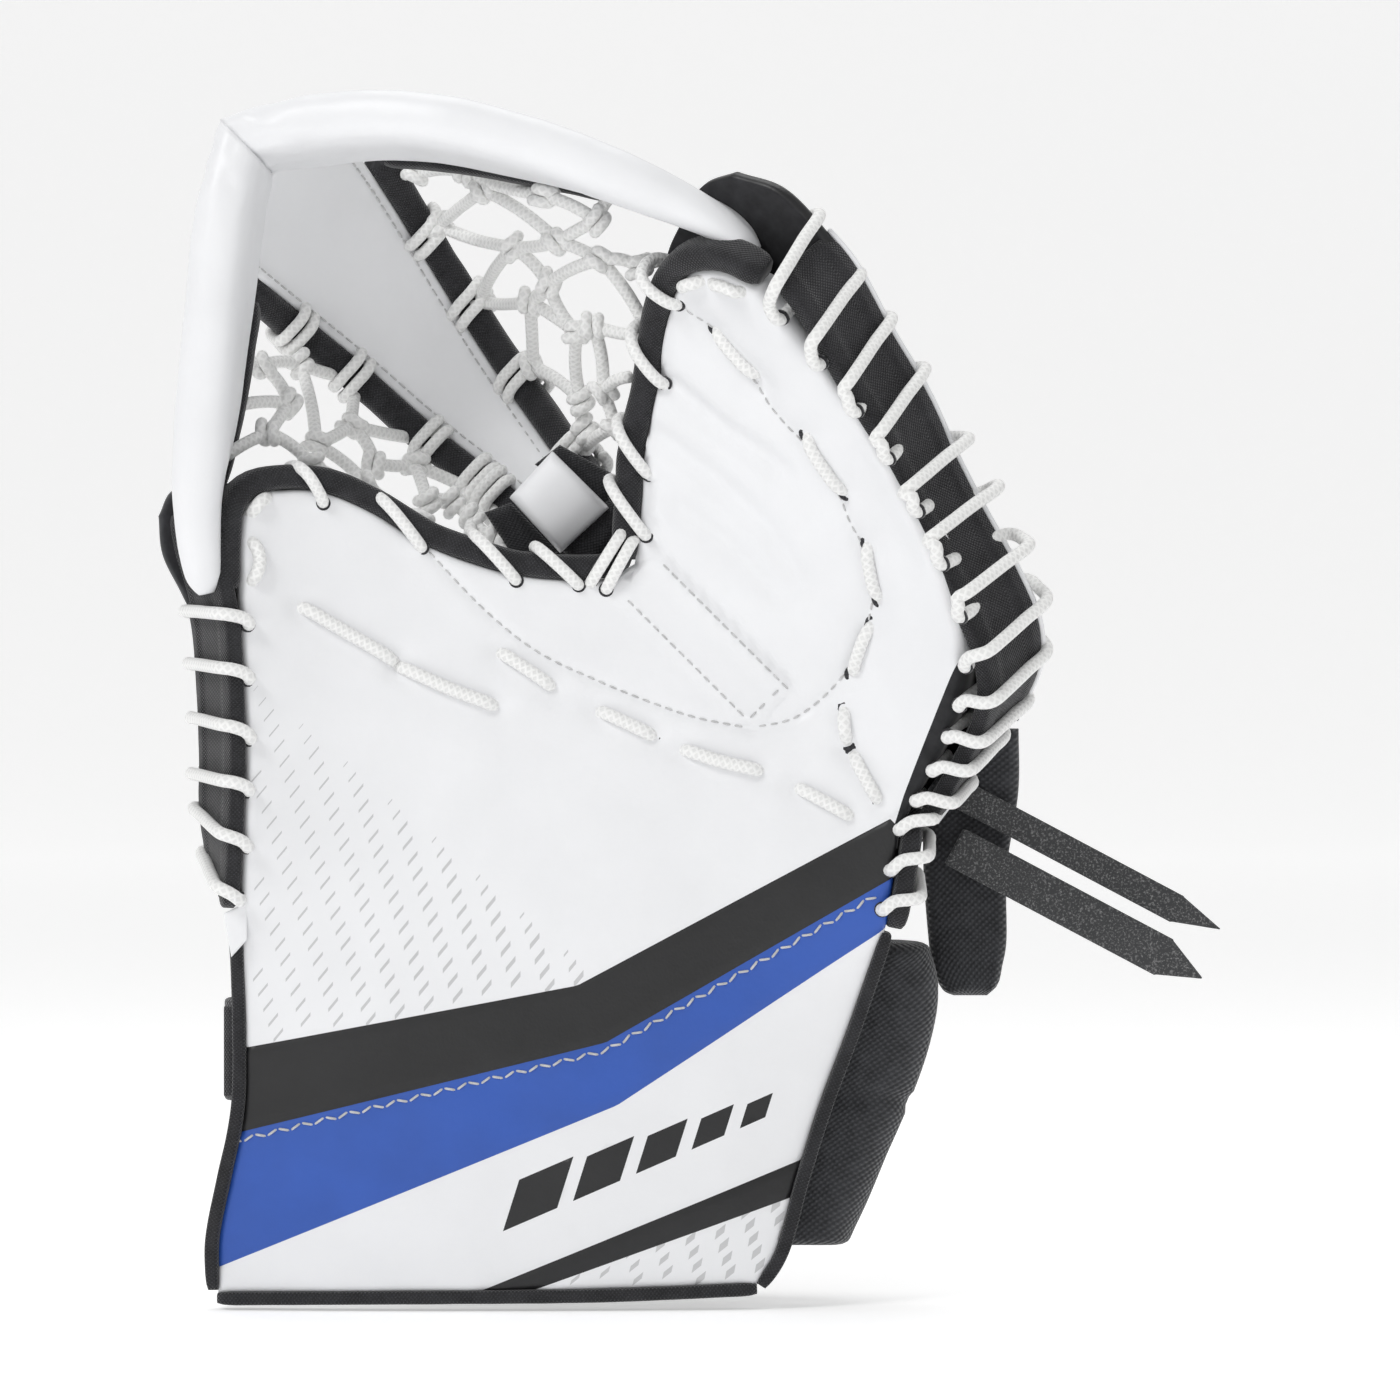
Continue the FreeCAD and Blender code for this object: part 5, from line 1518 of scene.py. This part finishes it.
def straps():
    for name, (root, shoulder, point, width, y) in STRAPS.items():
        root, shoulder, point = (np.array((p[0], y + 1.2, p[1]), float) for p in (root, shoulder, point))
        run = unit(shoulder - root)
        across = np.array([-run[2], 0, run[0]])
        rings = []
        body = [root + (shoulder - root) * t for t in np.linspace(0, 1, 60)]
        tip = [shoulder + (point - shoulder) * t for t in np.linspace(0.04, 0.97, 14)]
        for i, place in enumerate(body + tip):
            half = width / 2 if i < 60 else width / 2 * (1 - (i - 59) / 14.6)
            half *= 0.94 if i == 0 else 1.0
            ring = box_profile(2 * half, 2.3, 0, 0, 7.0, 28)
            ripple = 0.3 * math.sin(i * 0.21 + y)
            rings.append(place + across * ring[:, :1] + np.array([0, 1.0, 0]) * (ring[:, 1:] + ripple))
        shell = Shell()
        shell.loft(rings)
        held(shell.make(f"{name}_cover", MATERIALS["strap"]), name, "speckled_strap", name)
    rings = []
    for t, size in ((0, 0.8), (0.04, 0.93), (0.1, 1), (0.3, 1), (0.5, 1), (0.7, 1), (0.9, 1), (0.96, 0.93),
                    (1, 0.8)):
        ring = box_profile(19 * size, 9.8 * size, 133.6, 4.5, 6.0, 44)
        rings.append(np.stack([ring[:, 0], ring[:, 1], np.full(44, 158.6 + 27.2 * t)], 1))
    shell = Shell()
    shell.loft(rings)
    held(shell.make("strap_keeper_cover", MATERIALS["nylon"]), "palm", "black_nylon", "strap_keeper")


def tag():
    """A small blank white tag sewn in at the thumb's heel."""
    slab("edge_tag", [(-95.1, 126.3), (-95.1, 139.6), (-103.3, 135.5), (-100.7, 120.1)], -46.0, 1.4,
         MATERIALS["white"], "palm", "white_leather")


# ---- stage -----------------------------------------------------------------------------------------

def sweep_floor():
    """A pale floor that curves up behind the glove."""
    rows = []
    curve = [(7 + 3 * math.sin(a), 3 - 3 * math.cos(a)) for a in np.linspace(0, math.pi / 2, 16)]
    for y, z in ((-14.0, 0.0), *curve, (10.0, 14.0)):
        rows.append([(-14.0, y, z - 0.004), (14.0, y, z - 0.004)])
    verts = [p for row in rows for p in row]
    faces = [(2 * i, 2 * i + 1, 2 * i + 3, 2 * i + 2) for i in range(len(rows) - 1)]
    mesh = bpy.data.meshes.new("floor")
    mesh.from_pydata(verts, [], faces)
    mesh.polygons.foreach_set("use_smooth", [True] * len(faces))
    graph = Graph("pale_floor", (0.86, 0.86, 0.86), 0.8, specular=0.1)
    graph.shader.inputs["Emission Color"].default_value = (1, 1, 1, 1)
    graph.shader.inputs["Emission Strength"].default_value = 0.38
    mesh.materials.append(graph.material)
    floor = bpy.data.objects.new("floor", mesh)
    bpy.context.scene.collection.objects.link(floor)


def light(name, place, aim, size, power):
    lamp = bpy.data.lights.new(name, "AREA")
    lamp.shape, lamp.size, lamp.energy = "SQUARE", size, power
    obj = bpy.data.objects.new(name, lamp)
    obj.location = place
    obj.rotation_euler = (Vector(aim) - Vector(place)).to_track_quat("-Z", "Y").to_euler()
    bpy.context.scene.collection.objects.link(obj)


def studio():
    sweep_floor()
    middle = (0.06, -0.02, 0.2)
    light("key", (-1.3, -1.5, 1.9), middle, 0.7, 21)
    light("fill", (1.9, -1.6, 0.6), middle, 1.8, 4)
    light("top", (0.1, 0.5, 2.2), middle, 1.2, 12)
    light("front", (-0.5, -2.6, 0.7), middle, 1.0, 3)
    world = bpy.data.worlds.new("studio")
    world.use_nodes = True
    world.node_tree.nodes["Background"].inputs["Color"].default_value = (1, 1, 1, 1)
    world.node_tree.nodes["Background"].inputs["Strength"].default_value = 0.48
    bpy.context.scene.world = world
    bpy.context.scene.view_settings.view_transform = "Standard"
    lens = bpy.data.cameras.new("camera")
    lens.lens, lens.sensor_width, lens.clip_end = 180.7, 36.0, 50.0
    camera = bpy.data.objects.new("camera", lens)
    camera.location = (0.063, -2.5, 0.210)
    camera.rotation_euler = (math.pi / 2, 0, 0)
    bpy.context.scene.collection.objects.link(camera)
    bpy.context.scene.camera = camera


palm_cover()
finger_cover()
palm_stitching()
finger_stitching()
bands()
cuff_tapes()
piping()
gussets()
edge_laces()
tie_laces("palm_tie_cord", PALM_TIES, "palm_tie_laces", ON_PALM)
tie_laces("finger_tie_cord", FINGER_TIES, "finger_tie_laces", ON_FINGERS)
stem()
t_arms()
nets()
stem_base()
backs()
flaps()
wrist()
straps()
tag()
studio()
